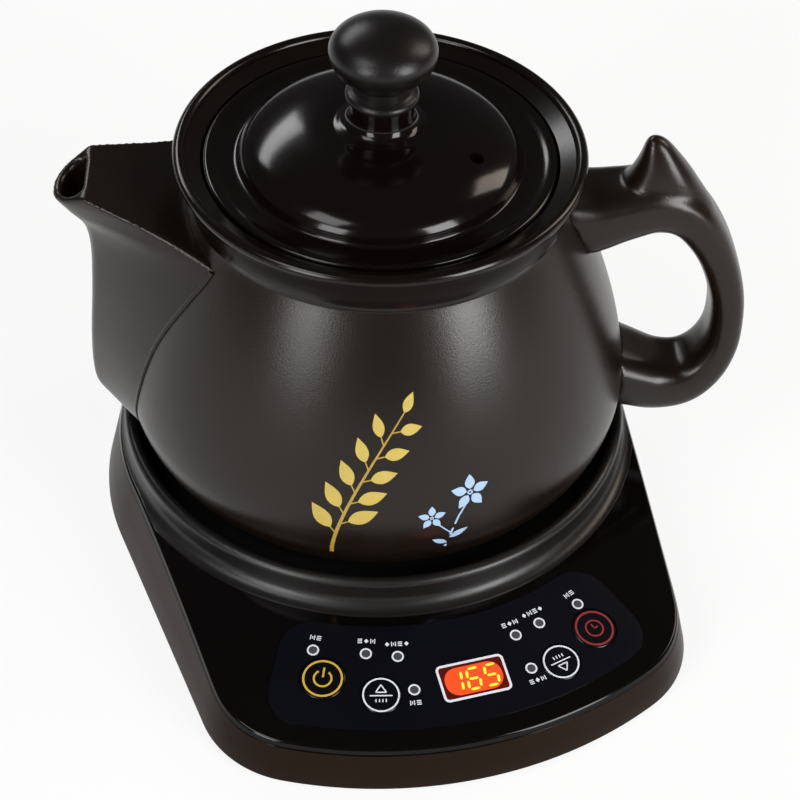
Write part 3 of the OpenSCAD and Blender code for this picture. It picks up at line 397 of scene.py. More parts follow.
# ---- spout: level wedges from the keel to the belly, with a rounded ridge
# height above the foot, reach of the front edge, nose radius, half width at the root
SPOUT_ROWS = [
    (13, KEEL - 5, 9, 0.65 * ROOT_W), (19, KEEL + 1, 10, 0.75 * ROOT_W), (27, KEEL + 2.5, 10, 0.83 * ROOT_W),
    (43, KEEL + 2, 9, 0.92 * ROOT_W), (66, KEEL, 8, 0.95 * ROOT_W), (86, KEEL - 1, 8.5, 1.03 * ROOT_W),
    (SPOUT_TOP - 20, KEEL + 1, 10, 1.05 * ROOT_W), (SPOUT_TOP - 12, KEEL + 7, 11.5, 1.03 * ROOT_W),
    (SPOUT_TOP - 5, SPOUT_REACH - 1, 12.5, ROOT_W), (SPOUT_TOP, SPOUT_REACH + 1, 13, ROOT_W)]
SPOUT_STEPS, NOSE_POINTS = 8, 28


def wedge(row, inset=0.0):
    """A level section of the spout: its root lies just inside the belly, its nose is an arc."""
    h, reach, r0, w0 = row
    root = math.sqrt((belly_at(min(h, NECK_H)) - ROOT_SINK) ** 2 - w0 ** 2)
    cx = r0 - reach
    side = math.atan2(w0 - r0, -root - cx)
    r, w = r0 - inset, w0 - inset / math.cos(side)
    lean = math.degrees(math.atan2(w - r, -root - cx))
    ring = [(-root, w)] + arc((cx, 0), r, 90 + lean, 270 - lean, NOSE_POINTS) + [(-root, -w)]
    return [(x, y, POT_Z + h) for x, y in ring]


def spout_form(name, rows, inset):
    count = (len(rows) - 1) * SPOUT_STEPS
    rings = [wedge(catmull(rows, i / SPOUT_STEPS), inset) for i in range(count + 1)]
    return raw(name, *loft(rings), turned=True)


def on_slope(points, fall):
    """Points about the mouth's inner edge, in a plane that falls outward, to the pot's axis frame."""
    c, s = math.cos(math.radians(fall)), math.sin(math.radians(fall))
    return [(x * c - z * s - MOUTH_BACK, y, x * s + z * c + POT_Z + SPOUT_TOP) for x, y, z in points]


def half_space(name, x1, fall, low):
    """All that lies above a plane through the mouth's inner edge, as far as the cuts need it."""
    far = 90
    corners = [(-far, -far), (x1, -far), (x1, far), (-far, far)]
    rings = [on_slope([(x, y, z) for x, y in corners], fall) for z in (low, far)]
    return raw(name, *loft(rings), turned=True)


def mouth_outline(grow):
    """The mouth: two small corners at the roof and a round front, grown all round."""
    throat, narrow, corner = MOUTH_W - MOUTH_LIP - 1 + grow, 0.8, 3 + grow
    tip = (SPOUT_REACH - 3 - MOUTH_BACK) / math.cos(math.radians(MOUTH_FALL))
    front = MOUTH_LIP + narrow * (throat - grow) - tip
    side = [(x * narrow + front, y) for x, y in arc((0, 0), throat, 100, 260, 24)]
    back = -MOUTH_LIP - 1.5
    near = arc((back, -throat + corner), corner, 270, 360, 6)
    return side + near + arc((back, throat - corner), corner, 0, 90, 6)


# the mouth's funnel: how much each section is grown, and its height over the mouth
FUNNEL = ((-1.4, -9), (-0.4, -2.5), (0, -0.6), (1.6, 1.2), (4, 4))

spout = spout_form("pot_beak", SPOUT_ROWS, 0)
channel_top = SPOUT_TOP - SPOUT_WALL
channel_rows = [r for r in SPOUT_ROWS if CHANNEL_H < r[0] < channel_top - 3]
channel = spout_form("channel", channel_rows + [(channel_top, SPOUT_REACH - 1, 12.5, ROOT_W)], SPOUT_WALL)
boolean(channel, [half_space("above", 90, -ROOF_FALL, -SPOUT_WALL)])
mouth_rings = [on_slope([(x, y, z) for x, y in mouth_outline(g)], MOUTH_FALL) for g, z in FUNNEL]
funnel = raw("funnel", *loft(mouth_rings), turned=True)
boolean(spout, [pot_outside(-INTO_WALL), half_space("above", 0, MOUTH_FALL, 0),
                half_space("above", 90, -ROOF_FALL, 0), channel, funnel])
soften(spout, size=0.6, rounds=22)
dress(spout, glaze, "pot", ("pot_spout",), angle=80)


def seam_point(h):
    """Where the spout's side meets the belly at height h, on its +Y side."""
    curve = (catmull(SPOUT_ROWS, t) for t in np.linspace(0, len(SPOUT_ROWS) - 1, 800))
    ring = wedge(next(row for row in curve if row[0] >= h))
    a, b = np.array(ring[0][:2]), np.array(ring[1][:2])
    for t in np.linspace(0, 1, 400):
        q = a + (b - a) * t
        if math.hypot(*q) >= belly_at(min(h, NECK_H)):
            break
    return (q[0], q[1], POT_Z + h)


def tube(name, points, radii):
    """A round bead along a line, with a radius for each point."""
    p = np.array(points, float)
    d = np.gradient(p, axis=0)
    d /= np.linalg.norm(d, axis=1)[:, None]
    rings = []
    for q, t, r in zip(p, d, radii):
        u = np.cross(t, [q[0], q[1], 0])
        u /= np.linalg.norm(u)
        rings.append(hoop(q, u, np.cross(t, u), r, 14))
    return raw(name, *loft(rings), turned=True)


SEAM_POINTS = 60
seam_line = [seam_point(h) for h in np.linspace(SEAM_LOW, SEAM_HIGH, SEAM_POINTS)]
swell = np.sin(np.linspace(0.25, math.pi / 2, SEAM_POINTS))
for side, name in ((1, "seam_far"), (-1, "seam_near")):
    bead = tube(name, [(x, side * y, z) for x, y, z in seam_line], SEAM_R + SEAM_SWELL * swell)
    dress(bead, glaze, "pot", angle=80)

# ---- handle: an ear of oval sections and a pointed thumb rest
# reach from the axis, height above the foot, half thickness, half width
HANDLE_ROWS = [
    (61, ARM_H - 6, GRIP_T + 8.5, GRIP_W + 6.5), (75, ARM_H - 5.5, GRIP_T + 6, GRIP_W + 5),
    (87, ARM_H - 2.5, GRIP_T + 4, GRIP_W + 3.5), (GRIP - 31.5, ARM_H, GRIP_T + 3, GRIP_W + 2),
    (GRIP - 21, ARM_H - 4.5, GRIP_T + 2, GRIP_W + 1), (GRIP - 13, ARM_H - 14, GRIP_T + 1, GRIP_W + 0.5),
    (GRIP - 6.5, ARM_H - 26.5, GRIP_T + 0.3, GRIP_W), (GRIP - 1.5, ARM_H - 42, GRIP_T, GRIP_W),
    (GRIP, ARM_H - 56, GRIP_T, GRIP_W + 0.5), (GRIP - 1, ARM_H - 67.5, GRIP_T + 0.5, GRIP_W + 1),
    (GRIP - 5.5, 28, GRIP_T + 1.5, GRIP_W + 2), (GRIP - 13.5, 21, GRIP_T + 3, GRIP_W + 3),
    (GRIP - 24.5, 20, GRIP_T + 4, GRIP_W + 4), (GRIP - 36.5, 24, GRIP_T + 5, GRIP_W + 5.5),
    (81, 28, GRIP_T + 8.5, GRIP_W + 7.5)]
# height above the foot, reach of the middle, half length, half width
THUMB_ROWS = [
    (ARM_H - 9, 103, 18.5, GRIP_W - 1), (ARM_H - 3, 102, 18.5, GRIP_W),
    (ARM_H + 2.5, 99.8, 17.5, GRIP_W - 0.3), (ARM_H + 7, 100, 14.3, GRIP_W - 1),
    (ARM_H + 12, 100, 11, GRIP_W - 2), (ARM_H + 18, 98.9, 7.6, GRIP_W - 3.8),
    (ARM_H + 23.5, 97.3, 4.8, GRIP_W - 6), (ARM_H + THUMB_RISE - 0.7, 96.2, 2.7, GRIP_W - 7.8),
    (ARM_H + THUMB_RISE + 0.4, 95.9, 0.8, 0.9)]
HANDLE_STEPS, THUMB_STEPS, OVAL_POINTS = 12, 8, 48
EAR_POWER, THUMB_POWER = 0.62, 0.78


def squarish(power):
    """An oval of half sizes 1 that is the squarer the lower its power."""
    turns = [2 * math.pi * k / OVAL_POINTS for k in range(OVAL_POINTS)]
    return [[math.copysign(abs(f(q)) ** power, f(q)) for f in (math.cos, math.sin)] for q in turns]


def stations(rows, steps):
    last = len(rows) - 1
    return np.linspace(0, last, steps * last + 1)


def handle_ring(t):
    """The ear's section at row t, square to the ear's line."""
    last = len(HANDLE_ROWS) - 1
    here, before, after = (catmull(HANDLE_ROWS, min(last, max(0, t + d))) for d in (0, -0.15, 0.15))
    x, z, thick, wide = here
    d = np.array([after[0] - before[0], after[1] - before[1]])
    nx, nz = np.array([-d[1], d[0]]) / np.linalg.norm(d)
    return [(x + nx * thick * a, -wide * b, POT_Z + z + nz * thick * a) for a, b in squarish(EAR_POWER)]


def thumb_ring(t):
    h, x, length, width = catmull(THUMB_ROWS, t)
    return [(x + length * a, width * b, POT_Z + h) for a, b in squarish(THUMB_POWER)]


ear = raw("pot_ear", *loft([handle_ring(t) for t in stations(HANDLE_ROWS, HANDLE_STEPS)]), turned=True)
thumb = raw("thumb", *loft([thumb_ring(t) for t in stations(THUMB_ROWS, THUMB_STEPS)]), turned=True)
boolean(ear, [thumb], "UNION")
boolean(ear, [pot_outside(-INTO_WALL)])
soften(ear, size=0.8, rounds=18)
dress(ear, glaze, "pot", ("pot_handle",), angle=80)

# ---- lid and knob
LOCATE_H, LOCATE_GAP, VAULT = 8, 2, 0.98
DOME_TOP = LID_T + DOME_H
WAIST_TOP = DOME_TOP + PEDESTAL_H


def lid_inside():
    """From the middle of the ceiling down the hollow of the dome and round the locating rim."""
    ceiling, hollow, locate = VAULT * (DOME_TOP - DOME_WALL), DOME_R - DOME_WALL, BORE_R - LOCATE_GAP
    vault = [(hollow * math.cos(a), ceiling * math.sin(a)) for a in np.linspace(1.36, 0, 24)]
    rim = [(hollow, 0.4 - LOCATE_H), (DOME_R - 3.6, -LOCATE_H), (locate - 1, -LOCATE_H)]
    rim += [(locate, 1.5 - LOCATE_H), (locate, 0)]
    return [(0, ceiling), (7.5, ceiling)] + vault + rim


def lid_outside():
    """From the flange's edge over the groove and the dome up to the pedestal's top."""
    flange = arc((LID_R - 1, 1), 1, -90, 0, 4) + arc((LID_R - 1.3, LID_T - 0.4), 1.3, 0, 90, 6)
    groove = [(LID_R - 4, LID_T + 0.1), (LID_R - 5.5, LID_T - 0.5), (DOME_R + 2, LID_T - 0.5)]
    groove += arc((DOME_R + 1.5, LID_T + 0.8), 1.3, 260, 190, 3)
    dome = [(PEDESTAL_R + 4.8 + (DOME_R - PEDESTAL_R - 4.8) * math.cos(a),
             LID_T + 0.5 + (DOME_H - 1) * math.sin(a)) for a in np.linspace(0, math.pi / 2, 40)]
    waist = arc((PEDESTAL_R + 4.6, DOME_TOP + 4.6), 4.7, 262, 184, 8)
    waist += [(PEDESTAL_R, DOME_TOP + 7), (PEDESTAL_R, WAIST_TOP), (0, WAIST_TOP)]
    return flange + groove + dome[2:] + waist


lid = raw("lid_cover", *revolve(up(lid_inside() + lid_outside(), LID_Z), POT_PARTS), turned=True)
steam = math.radians(STEAM_TURN)
hole = (STEAM_REACH * math.cos(steam), STEAM_REACH * math.sin(steam))
boolean(lid, [rod("steam", (*hole, LID_Z - 1), (*hole, LID_Z + 30), STEAM_R, 40)])
dress(lid, lid_glaze, "lid", ("lid_dome",))


def knob_profile():
    """A bead and a narrow waist under a head that is rounder below than above."""
    head = 3.6 + 5 + 0.52 * KNOB_H
    bead = arc((PEDESTAL_R - 0.2, BEAD_R), BEAD_R, -75, 75, 10)
    waist = [(PEDESTAL_R - 0.9, 4.3), (PEDESTAL_R - 0.9, 7.4)]
    cap = [(KNOB_R * math.cos(a), head + (0.62 if a < 0 else 0.48) * KNOB_H * math.sin(a))
           for a in np.radians(np.linspace(-50, 90, 36))]
    return [(0, 0), (PEDESTAL_R - 0.4, 0)] + bead + waist + cap


knob = raw("lid_handle", *revolve(up(knob_profile(), LID_Z + WAIST_TOP), KNOB_PARTS), turned=True)
dress(knob, knob_mat, "lid", ("lid_knob",), angle=30)


# ---- base housing: rings of points round the axis, each at its own reach and height
def deck_at(r):
    return DECK_Z - SLOPE * max(0.0, r - RING_R)


decks = np.vectorize(deck_at)
around = 2 * np.pi * np.arange(SECTORS) / SECTORS
normals = np.radians(np.linspace(0, 360, 7201))


def plan_radius(g):
    """Distance of the plan's outline from the axis, at each angle around from -Y, for the plan grown by g."""
    end = math.radians(FRONT_SPAN)
    from_front = np.abs(normals - np.pi * 2 * np.round(normals / (np.pi * 2)))
    support = np.maximum(BACK_R + g, FRONT_ARC * np.cos(from_front - end) + CORNER_R + g)
    support = np.where(from_front < end, FRONT_ARC + CORNER_R + g, support)
    out = []
    for a in around:
        c = np.cos(normals - a)
        ok = c > 0.2
        out.append(np.min(support[ok] / c[ok]))
    return np.array(out)


PLAN, WIDE_PLAN = plan_radius(0), plan_radius(SKIRT_FLARE)


def plan_at(g):
    """Outline radii for growth g, from the two stored plans."""
    return PLAN + (WIDE_PLAN - PLAN) * g / SKIRT_FLARE


def growth(z):
    """How far the skirt has flared out at height z."""
    return SKIRT_FLARE * (DECK_Z + 2 - z) / (DECK_Z + 2 - FOOT_GAP)


def ring_points(radii, heights):
    return [(r * math.sin(a), -r * math.cos(a), z) for a, r, z in zip(around, radii, heights)]


edge_r = plan_at(growth(decks(plan_at(0))))


def cover_rows():
    """From under the guard ring out over the deck, round its edge and back along its underside."""
    inner_r = np.full(SECTORS, RING_R - 1.7)
    rows = [ring_points(inner_r, decks(inner_r) - CASE_T), ring_points(inner_r, decks(inner_r))]
    for t in (0.02, 0.25, 0.5, 0.75, 0.97, 1.0):
        r = inner_r + (edge_r - EDGE - inner_r) * t
        rows.append(ring_points(r, decks(r)))
    for a in (18, 36, 54, 72, 90):
        a = math.radians(a)
        r = edge_r - EDGE + EDGE * math.sin(a)
        rows.append(ring_points(r, decks(edge_r - EDGE) - EDGE + EDGE * math.cos(a)))
    low = decks(edge_r) - CASE_T + 0.12
    rows.append(ring_points(plan_at(growth(low)), low))
    rows.append(ring_points(plan_at(growth(low)) - 0.4, low - 0.1))
    rows.append(ring_points(edge_r - 3, decks(edge_r - 3) - CASE_T))
    return rows


def deck_matrix(reach, angle):
    """From a place on the deck's surface, square to its slope, to the axis frame."""
    spin = Matrix.Rotation(math.radians(angle), 4, "Z")
    lean = Matrix.Rotation(math.radians(DECK_FALL), 4, "X")
    return spin @ Matrix.Translation((0, -reach, deck_at(reach))) @ lean


def deck_cutter(outline, reach, angle):
    """A prism through the cover, square to it, over an outline drawn about a place on the deck."""
    m = deck_matrix(reach, angle)
    return raw("hole", *loft([[tuple(m @ Vector((x, y, z))) for x, y in outline] for z in (-4, 3)]))


def corners(half_w, half_h):
    return [(-half_w, -half_h), (half_w, -half_h), (half_w, half_h), (-half_w, half_h)]


cover = raw("deck_cover", *closed(cover_rows()))
cuts = [deck_cutter(circle(r + KEY_GAP, 64), reach, angle) for reach, angle, r in KEYS.values()]
cuts.append(deck_cutter(corners(WINDOW_W / 2 * 1.012, WINDOW_H / 2 * 1.02), *WINDOW))
cuts += [deck_cutter(circle(LAMP_HOLE_R, 32), reach, angle) for reach, angle in LAMPS]
boolean(cover, cuts)
dress(cover, cover_mat, "base", ("top_cover",), angle=30)


def skirt_rows():
    """From under the cover's edge down the outside, round the foot and up the inside."""
    rows = []
    top = decks(edge_r) - CASE_T
    for t in (0.0, 0.02, 0.5, 0.97):
        z = top - 0.05 + (FOOT_GAP + 1.0 - top) * t
        rows.append(ring_points(plan_at(growth(z)), z))
    for rise, inset in ((0.3, 0.25), (0, 1.0), (0, CASE_T)):
        z = np.full(SECTORS, FOOT_GAP + rise)
        rows.append(ring_points(plan_at(growth(z)) - inset, z))
    rows.append(ring_points(plan_at(growth(top)) - CASE_T, decks(edge_r - CASE_T) - CASE_T - 0.05))
    return rows


skirt = raw("skirt_wall", *closed(skirt_rows()))
side = INLET_W / 2
inlet = [(-side, INLET_FROM), (side, INLET_FROM), (side, INLET_TO), (-side, INLET_TO)]
inlet_rings = [[(x, y, INLET_Z + z) for x, y in inlet] for z in (-INLET_H / 2, INLET_H / 2)]
boolean(skirt, [raw("inlet_hole", *loft(inlet_rings))])
dress(skirt, skirt_painted_reflection_mat, "base", ("housing_skirt",), angle=30)


# ---- guard ring: a crest with a cove at its foot, cut off by the plan at the back
def guard_profile():
    """From the cove over the crest and down to the plate's seal, then back under the ring."""
    cove_r, crest_r, inside_r, seal_r = RING_R + COVE_R, RING_T / 2, RING_R - RING_T, PLATE_R + 1.5
    under, step, step_in, step_out = DECK_Z - 2.6, 1.6, RING_R - 5, RING_R - 2
    cove = [(cove_r, deck_at(cove_r) - 0.05), (cove_r, deck_at(cove_r) + 0.02)]
    cove += arc((cove_r, DECK_Z + COVE_R), COVE_R, 268, 182, 14) + [(RING_R, DECK_Z + 7.2)]
    crest = arc((RING_R - crest_r, DECK_Z + RING_H - crest_r), crest_r, 0, 180, 24)
    slope = [(inside_r - inset, DECK_Z + rise) for inset, rise in ((0.6, 6), (3, 3), (5, 1.4), (8, 0.5))]
    seal = [(seal_r + 0.4, DECK_Z), (seal_r, DECK_Z - 0.4), (seal_r, under)]
    back = [(step_in, under), (step_in, under - step), (step_out, under - step), (step_out, DECK_Z - 0.05)]
    return cove + crest + slope + seal + back + [(RING_R, DECK_Z - 0.05)]


limit = plan_at(0) - 0.2
guard_rows = [ring_points(np.minimum(r, limit), np.full(SECTORS, z)) for r, z in guard_profile()]
guard = raw("guard_collar", *closed(guard_rows))
dress(guard, ring_mat, "base", ("guard_ring",), angle=40)


# ---- prints: thin patches that follow the surface under them
def patch(name, polygons, to_surface, finish, body, lift=0.06, thick=0.05):
    """Flat outlines, drawn in millimetres, laid on a surface by to_surface(u, v, height)."""
    verts, faces = [], []
    for outline, cells in polygons:
        base, n = len(verts), len(outline)
        verts += [to_surface(u, v, lift + thick) for u, v in outline]
        verts += [to_surface(u, v, lift) for u, v in outline]
        faces += [tuple(base + i for i in cell) for cell in cells]
        faces += [tuple(base + n + i for i in reversed(cell)) for cell in cells]
        edges = dict.fromkeys((cell[i], cell[(i + 1) % len(cell)])
                              for cell in cells for i in range(len(cell)))
        faces += [(base + a, base + n + a, base + n + b, base + b) for a, b in edges if (b, a) not in edges]
    obj = new_object(name, np.array(verts, float), faces)
    obj.data.materials.append(finish)
    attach(obj, body)
    return obj


def strip(points, widths, closed_line=False):
    """A band along a line of (u, v) points, as quads."""
    p = np.array(points, float)
    n = len(p)
    widths = np.broadcast_to(np.asarray(widths, float), (n,))
    d = np.roll(p, -1, 0) - np.roll(p, 1, 0) if closed_line else np.gradient(p, axis=0)
    d /= np.maximum(np.linalg.norm(d, axis=1), 1e-9)[:, None]
    side = np.stack([-d[:, 1], d[:, 0]], 1) * widths[:, None] / 2
    outline = np.concatenate([p + side, p - side]).tolist()
    return outline, [(i, n + i, n + (i + 1) % n, (i + 1) % n) for i in range(n if closed_line else n - 1)]


def ring_strip(r, width, n=64, centre=(0, 0)):
    return strip(circle(r, n, centre), width, True)


def fan(outline):
    """A filled convex outline."""
    c = np.mean(np.array(outline, float), 0).tolist()
    n = len(outline)
    return [list(p) for p in outline] + [c], [(i, (i + 1) % n, n) for i in range(n)]


def segment(a, b, width):
    return strip([a, ((a[0] + b[0]) / 2, (a[1] + b[1]) / 2), b], width)


def deck_surface(reach, angle):
    """u and v run across and up the deck from a place on it, over the film."""
    m = deck_matrix(reach, angle)

    def place(u, v, h):
        p = m @ Vector((u, v, 0))
        return (p.x, p.y, deck_at(math.hypot(p.x, p.y)) + FILM_T + h)
    return place


def key_surface(reach, angle):
    """The same on a flat key or window."""
    m = deck_matrix(reach, angle)
    return lambda u, v, h: tuple(m @ Vector((u, v, FILM_T + h)))


# key rings and symbols
def power_sign(r):
    """A ring open at its top, with a bar in the gap."""
    open_ring = [(r * math.cos(a), r * math.sin(a)) for a in np.radians(np.linspace(125, 415, 30))]
    return [strip(open_ring, 0.7), segment((0, 0.5), (0, r + 1.2), 0.7)]


def clock_sign(r):
    """A dial with two hands."""
    hands = [segment((0, 0), (0, r * 0.62), 0.55), segment((-0.2, 0), (r * 0.5, 0), 0.55)]
    return [ring_strip(r, 0.6, 40)] + hands


def arrow_sign(way):
    """A triangle that points up (way 1) or down (way -1), a level bar and four short upright ones."""
    tri = [(-1.9, 1.0 * way), (1.9, 1.0 * way), (0, 1.0 * way + 2.9 * way)]
    parts = [segment(tri[i], tri[(i + 1) % 3], 0.45) for i in range(3)]
    parts.append(segment((-4, -0.3 * way), (4, -0.3 * way), 0.45))
    for k in range(4):
        x = -1.8 + 1.2 * k
        parts.append(segment((x, -2.2 * way - 0.6), (x, -2.2 * way + 0.6), 0.4))
    return parts


# each key's body and ink, its ring's inset and width, and its sign
KEY_PRINTS = {
    "key_power": ("power_button", key_gold_print, 1.2, 0.75, power_sign(3.1)),
    "key_timer": ("timer_button", red_print, 1.2, 0.75, clock_sign(3.2)),
    "key_up": ("up_button", white_print, 0.8, 0.6, arrow_sign(1)),
    "key_down": ("down_button", white_print, 0.8, 0.6, arrow_sign(-1))}
for node, (body, finish, inset, width, sign) in KEY_PRINTS.items():
    reach, angle, r = KEYS[node]
    parts = [ring_strip(r - inset, width)] + sign
    patch(node + "_print", parts, key_surface(reach, angle), finish, body, lift=0.02)

# lamp rings with small signs beside each; those of the lamps in BELOW stand under them
BAR, SIGN_PITCH, SIGN_OUT, BELOW = 0.35, 2.3, 5.0, (3, 7)


def small_sign(kind, x, y):
    """A small mark about (x, y): three upright bars, three level bars, or a filled lozenge."""
    if kind == 0:
        bars = ((-0.7, 0.9), (0, 0.5), (0.7, 0.9))
        return [segment((x + dx, y - h), (x + dx, y + h), BAR) for dx, h in bars]
    if kind == 1:
        return [segment((x - 0.8, y + dy), (x + 0.8, y + dy), BAR) for dy in (-0.7, 0, 0.7)]
    return [fan([(x - 0.8, y), (x, y - 0.9), (x + 0.8, y), (x, y + 0.9)])]


for i, (reach, angle) in enumerate(LAMPS):
    y = -SIGN_OUT if i in BELOW else SIGN_OUT
    count = 2 + i % 3
    parts = [ring_strip(1.85, 0.6, 40)]
    for k in range(count):
        parts += small_sign((i + k) % 3, (k - (count - 1) / 2) * SIGN_PITCH, y)
    patch("lamp_print_%d" % i, parts, deck_surface(reach, angle), white_print, "base")


# display: a white frame round the window, and lit digits on their glow
def rounded(w, h, r):
    """A rectangle with rounded corners."""
    x, y = w / 2 - r, h / 2 - r
    places = ((x, y, 0), (-x, y, 90), (-x, -y, 180), (x, -y, 270))
    return [p for cx, cy, a in places for p in arc((cx, cy), r, a, a + 90, 8)]


DIGITS = {"1": "bc", "6": "acdefg", "5": "acdfg"}
DIGIT_PITCH, DIGIT_W, DIGIT_H, SLANT, BAR_END = 6.6, 4.4, 8.0, 0.12, 0.55
BAR_WIDTHS = [0.3, 0.95, 0.95, 0.95, 0.95, 0.95, 0.3]
FRAME_GAP, FRAME_R, FRAME_W = 0.6, 1.6, 0.9
# width, height and corner radius of the glow
GLOW = (21.0, 10.8, 4.8)


def digit(char, middle):
    """A seven-bar digit; its bars stop short of the corners and are pointed."""
    x, y = DIGIT_W / 2, DIGIT_H / 2
    bars = {"a": ((-x, y), (x, y)), "b": ((x, y), (x, 0)), "c": ((x, 0), (x, -y)), "d": ((-x, -y), (x, -y)),
            "e": ((-x, 0), (-x, -y)), "f": ((-x, y), (-x, 0)), "g": ((-x, 0), (x, 0))}
    out = []
    for key in DIGITS[char]:
        (x0, y0), (x1, y1) = bars[key]
        length = math.hypot(x1 - x0, y1 - y0)
        ux, uy = (x1 - x0) / length, (y1 - y0) / length
        a, b = (x0 + ux * BAR_END, y0 + uy * BAR_END), (x1 - ux * BAR_END, y1 - uy * BAR_END)
        line = [(a[0] + (b[0] - a[0]) * t, a[1] + (b[1] - a[1]) * t) for t in np.linspace(0, 1, 7)]
        out.append(strip([(middle + px + SLANT * py, py) for px, py in line], BAR_WIDTHS))
    return out


display_frame = [strip(rounded(WINDOW_W + FRAME_GAP, WINDOW_H + FRAME_GAP, FRAME_R), FRAME_W, True)]
patch("display_frame_print", display_frame, deck_surface(*WINDOW), white_print, "base", lift=0.08)
on_window = key_surface(*WINDOW)
patch("display_glow", [fan(rounded(*GLOW))], on_window, glow_mat, "base", lift=0.02, thick=0.01)
digits = digit("1", -DIGIT_PITCH) + digit("6", 0.0) + digit("5", DIGIT_PITCH)
patch("display_digits", digits, on_window, digit_mat, "base", lift=0.05, thick=0.02)


# ---- sprigs printed on the belly
def belly_surface(angle0, h0):
    """u runs round the belly to the right and v up it, in millimetres, from a place on the pot."""
    def place(u, v, height):
        h, e = h0 + v, 0.5
        slope = (belly_at(h + e) - belly_at(h - e)) / (2 * e)
        nr, nz = 1 / math.hypot(1, slope), -slope / math.hypot(1, slope)
        a = math.radians(angle0 + POT_TURN) + u / belly_at(h0)
        r = belly_at(h) + nr * height
        return (r * math.cos(a), r * math.sin(a), POT_Z + h + nz * height)
    return place


def leaf(base, direction, length, width):
    """A pointed oval that starts at base and runs along a direction in degrees."""
    d = math.radians(direction)
    ux, uy = math.cos(d), math.sin(d)
    edge = [(t * length, math.sin(math.pi * t ** 0.8) * width / 2) for t in np.linspace(0, 1, 9)]
    edge += [(x, -y) for x, y in edge[-2:0:-1]]
    return fan([(base[0] + x * ux - y * uy, base[1] + x * uy + y * ux) for x, y in edge])


def sprig(height, lean, pairs, leaf_len, leaf_w):
    """A curved stem, and leaves that stand off along it in turn and shrink to its tip."""
    def at(t):
        return (lean * t ** 1.7 * height, t * height)
    stem = [at(t) for t in np.linspace(0, 1, 24)]
    stems = [strip(stem, np.linspace(1.5, 0.5, 24))]
    leaves = [leaf(stem[-1], 62, leaf_len * 0.6, leaf_w * 0.6)]
    for k in range(2 * pairs):
        t = 0.2 + 0.76 * k / (2 * pairs)
        side, size = 1 if k % 2 else -1, 1.0 - 0.4 * t
        a = 90 - math.degrees(math.atan(1.7 * lean * t ** 0.7)) - side * 48
        x, y = at(t)
        foot = (x + 3.2 * math.cos(math.radians(a)), y + 3.2 * math.sin(math.radians(a)))
        stems.append(segment((x, y), foot, 0.5))
        leaves.append(leaf(foot, a, leaf_len * size, leaf_w * size))
    return stems, leaves


def blossom(centre, r):
    """Five petals round a small ring."""
    petals = []
    for a in range(18, 378, 72):
        x, y = 0.22 * r * math.cos(math.radians(a)), 0.22 * r * math.sin(math.radians(a))
        petals.append(leaf((centre[0] + x, centre[1] + y), a, r, 0.62 * r))
    return petals + [ring_strip(0.12 * r, 0.1 * r, 16, centre)]


# each sprig's angle round the pot and height above its foot
GOLD_AT, BLUE_AT = (-101, 19), (-76, 21)
stems, leaves = sprig(height=60, lean=0.42, pairs=5, leaf_len=13, leaf_w=6.4)
on_belly = belly_surface(*GOLD_AT)
patch("gold_sprig_stem", stems, on_belly, gold_print, "pot")
patch("gold_sprig_leaves", leaves, on_belly, leaf_print, "pot")
blue_stem = [(0.0, 0.0), (1.5, 8.0), (4.0, 15.0), (7.5, 21.0)]
parts = [strip(blue_stem, [0.9, 0.8, 0.7, 0.5]), segment((1.5, 8.0), (-4.0, 14.0), 0.5)]
parts += blossom((8.5, 24.5), 6.0) + blossom((-5.5, 16.5), 4.2)
parts += [leaf((1.0, 5.5), 28, 7.5, 2.8), leaf((0.4, 2.5), 150, 6.5, 2.5)]
patch("blue_blossom", parts, belly_surface(*BLUE_AT), blue_print, "pot")

# ---- CAD nodes that stay as they are
for names, finish in (
        (("knob_washer", "plate_seal"), silicone_mat),
        (("knob_screw", "case_screws", "board_screws", "plate_screws", "bracket_screws"), steel_mat),
        (("sensor_spring",), steel_mat),
        (("bottom_cover",), under_mat), (("rubber_feet",), rubber_mat), (("panel_film",), film_mat),
        (("key_power", "key_timer", "key_up", "key_down"), film_mat),
        (("tact_switches", "display_module", "supply_capacitor", "power_inlet"), part_mat),
        (("control_board", "power_board"), board_mat), (("display_window",), window_mat),
        (("indicator_lamps",), lamp_mat), (("heating_plate",), plate_mat), (("heating_tube",), tube_mat),
        (("tube_terminals", "inlet_pins"), brass_mat), (("heat_shield", "sensor_bracket"), shield_mat),
        (("sensor_cap",), sensor_mat), (("thermal_fuse",), fuse_mat), (("power_relay",), relay_mat),
        (("filter_capacitor",), cap_mat)):
    for name in names:
        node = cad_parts[name]
        node.data.materials.clear()
        node.data.materials.append(finish)

# ---- floor and light, with sizes in metres
FLOOR_HALF, FLOOR_GREY, FLOOR_WHITE, WORLD_LIGHT = 6, 0.8, 0.85, 0.09
# the camera's place in millimetres from the foot of the pot's axis, and where it looks
CAMERA_FROM, CAMERA_ALONG = (-148.86, -538.45, 586.79), (0.2025, 0.6844, -0.7005)
CAMERA_ROLL, CAMERA_LENS = 2.19, 90


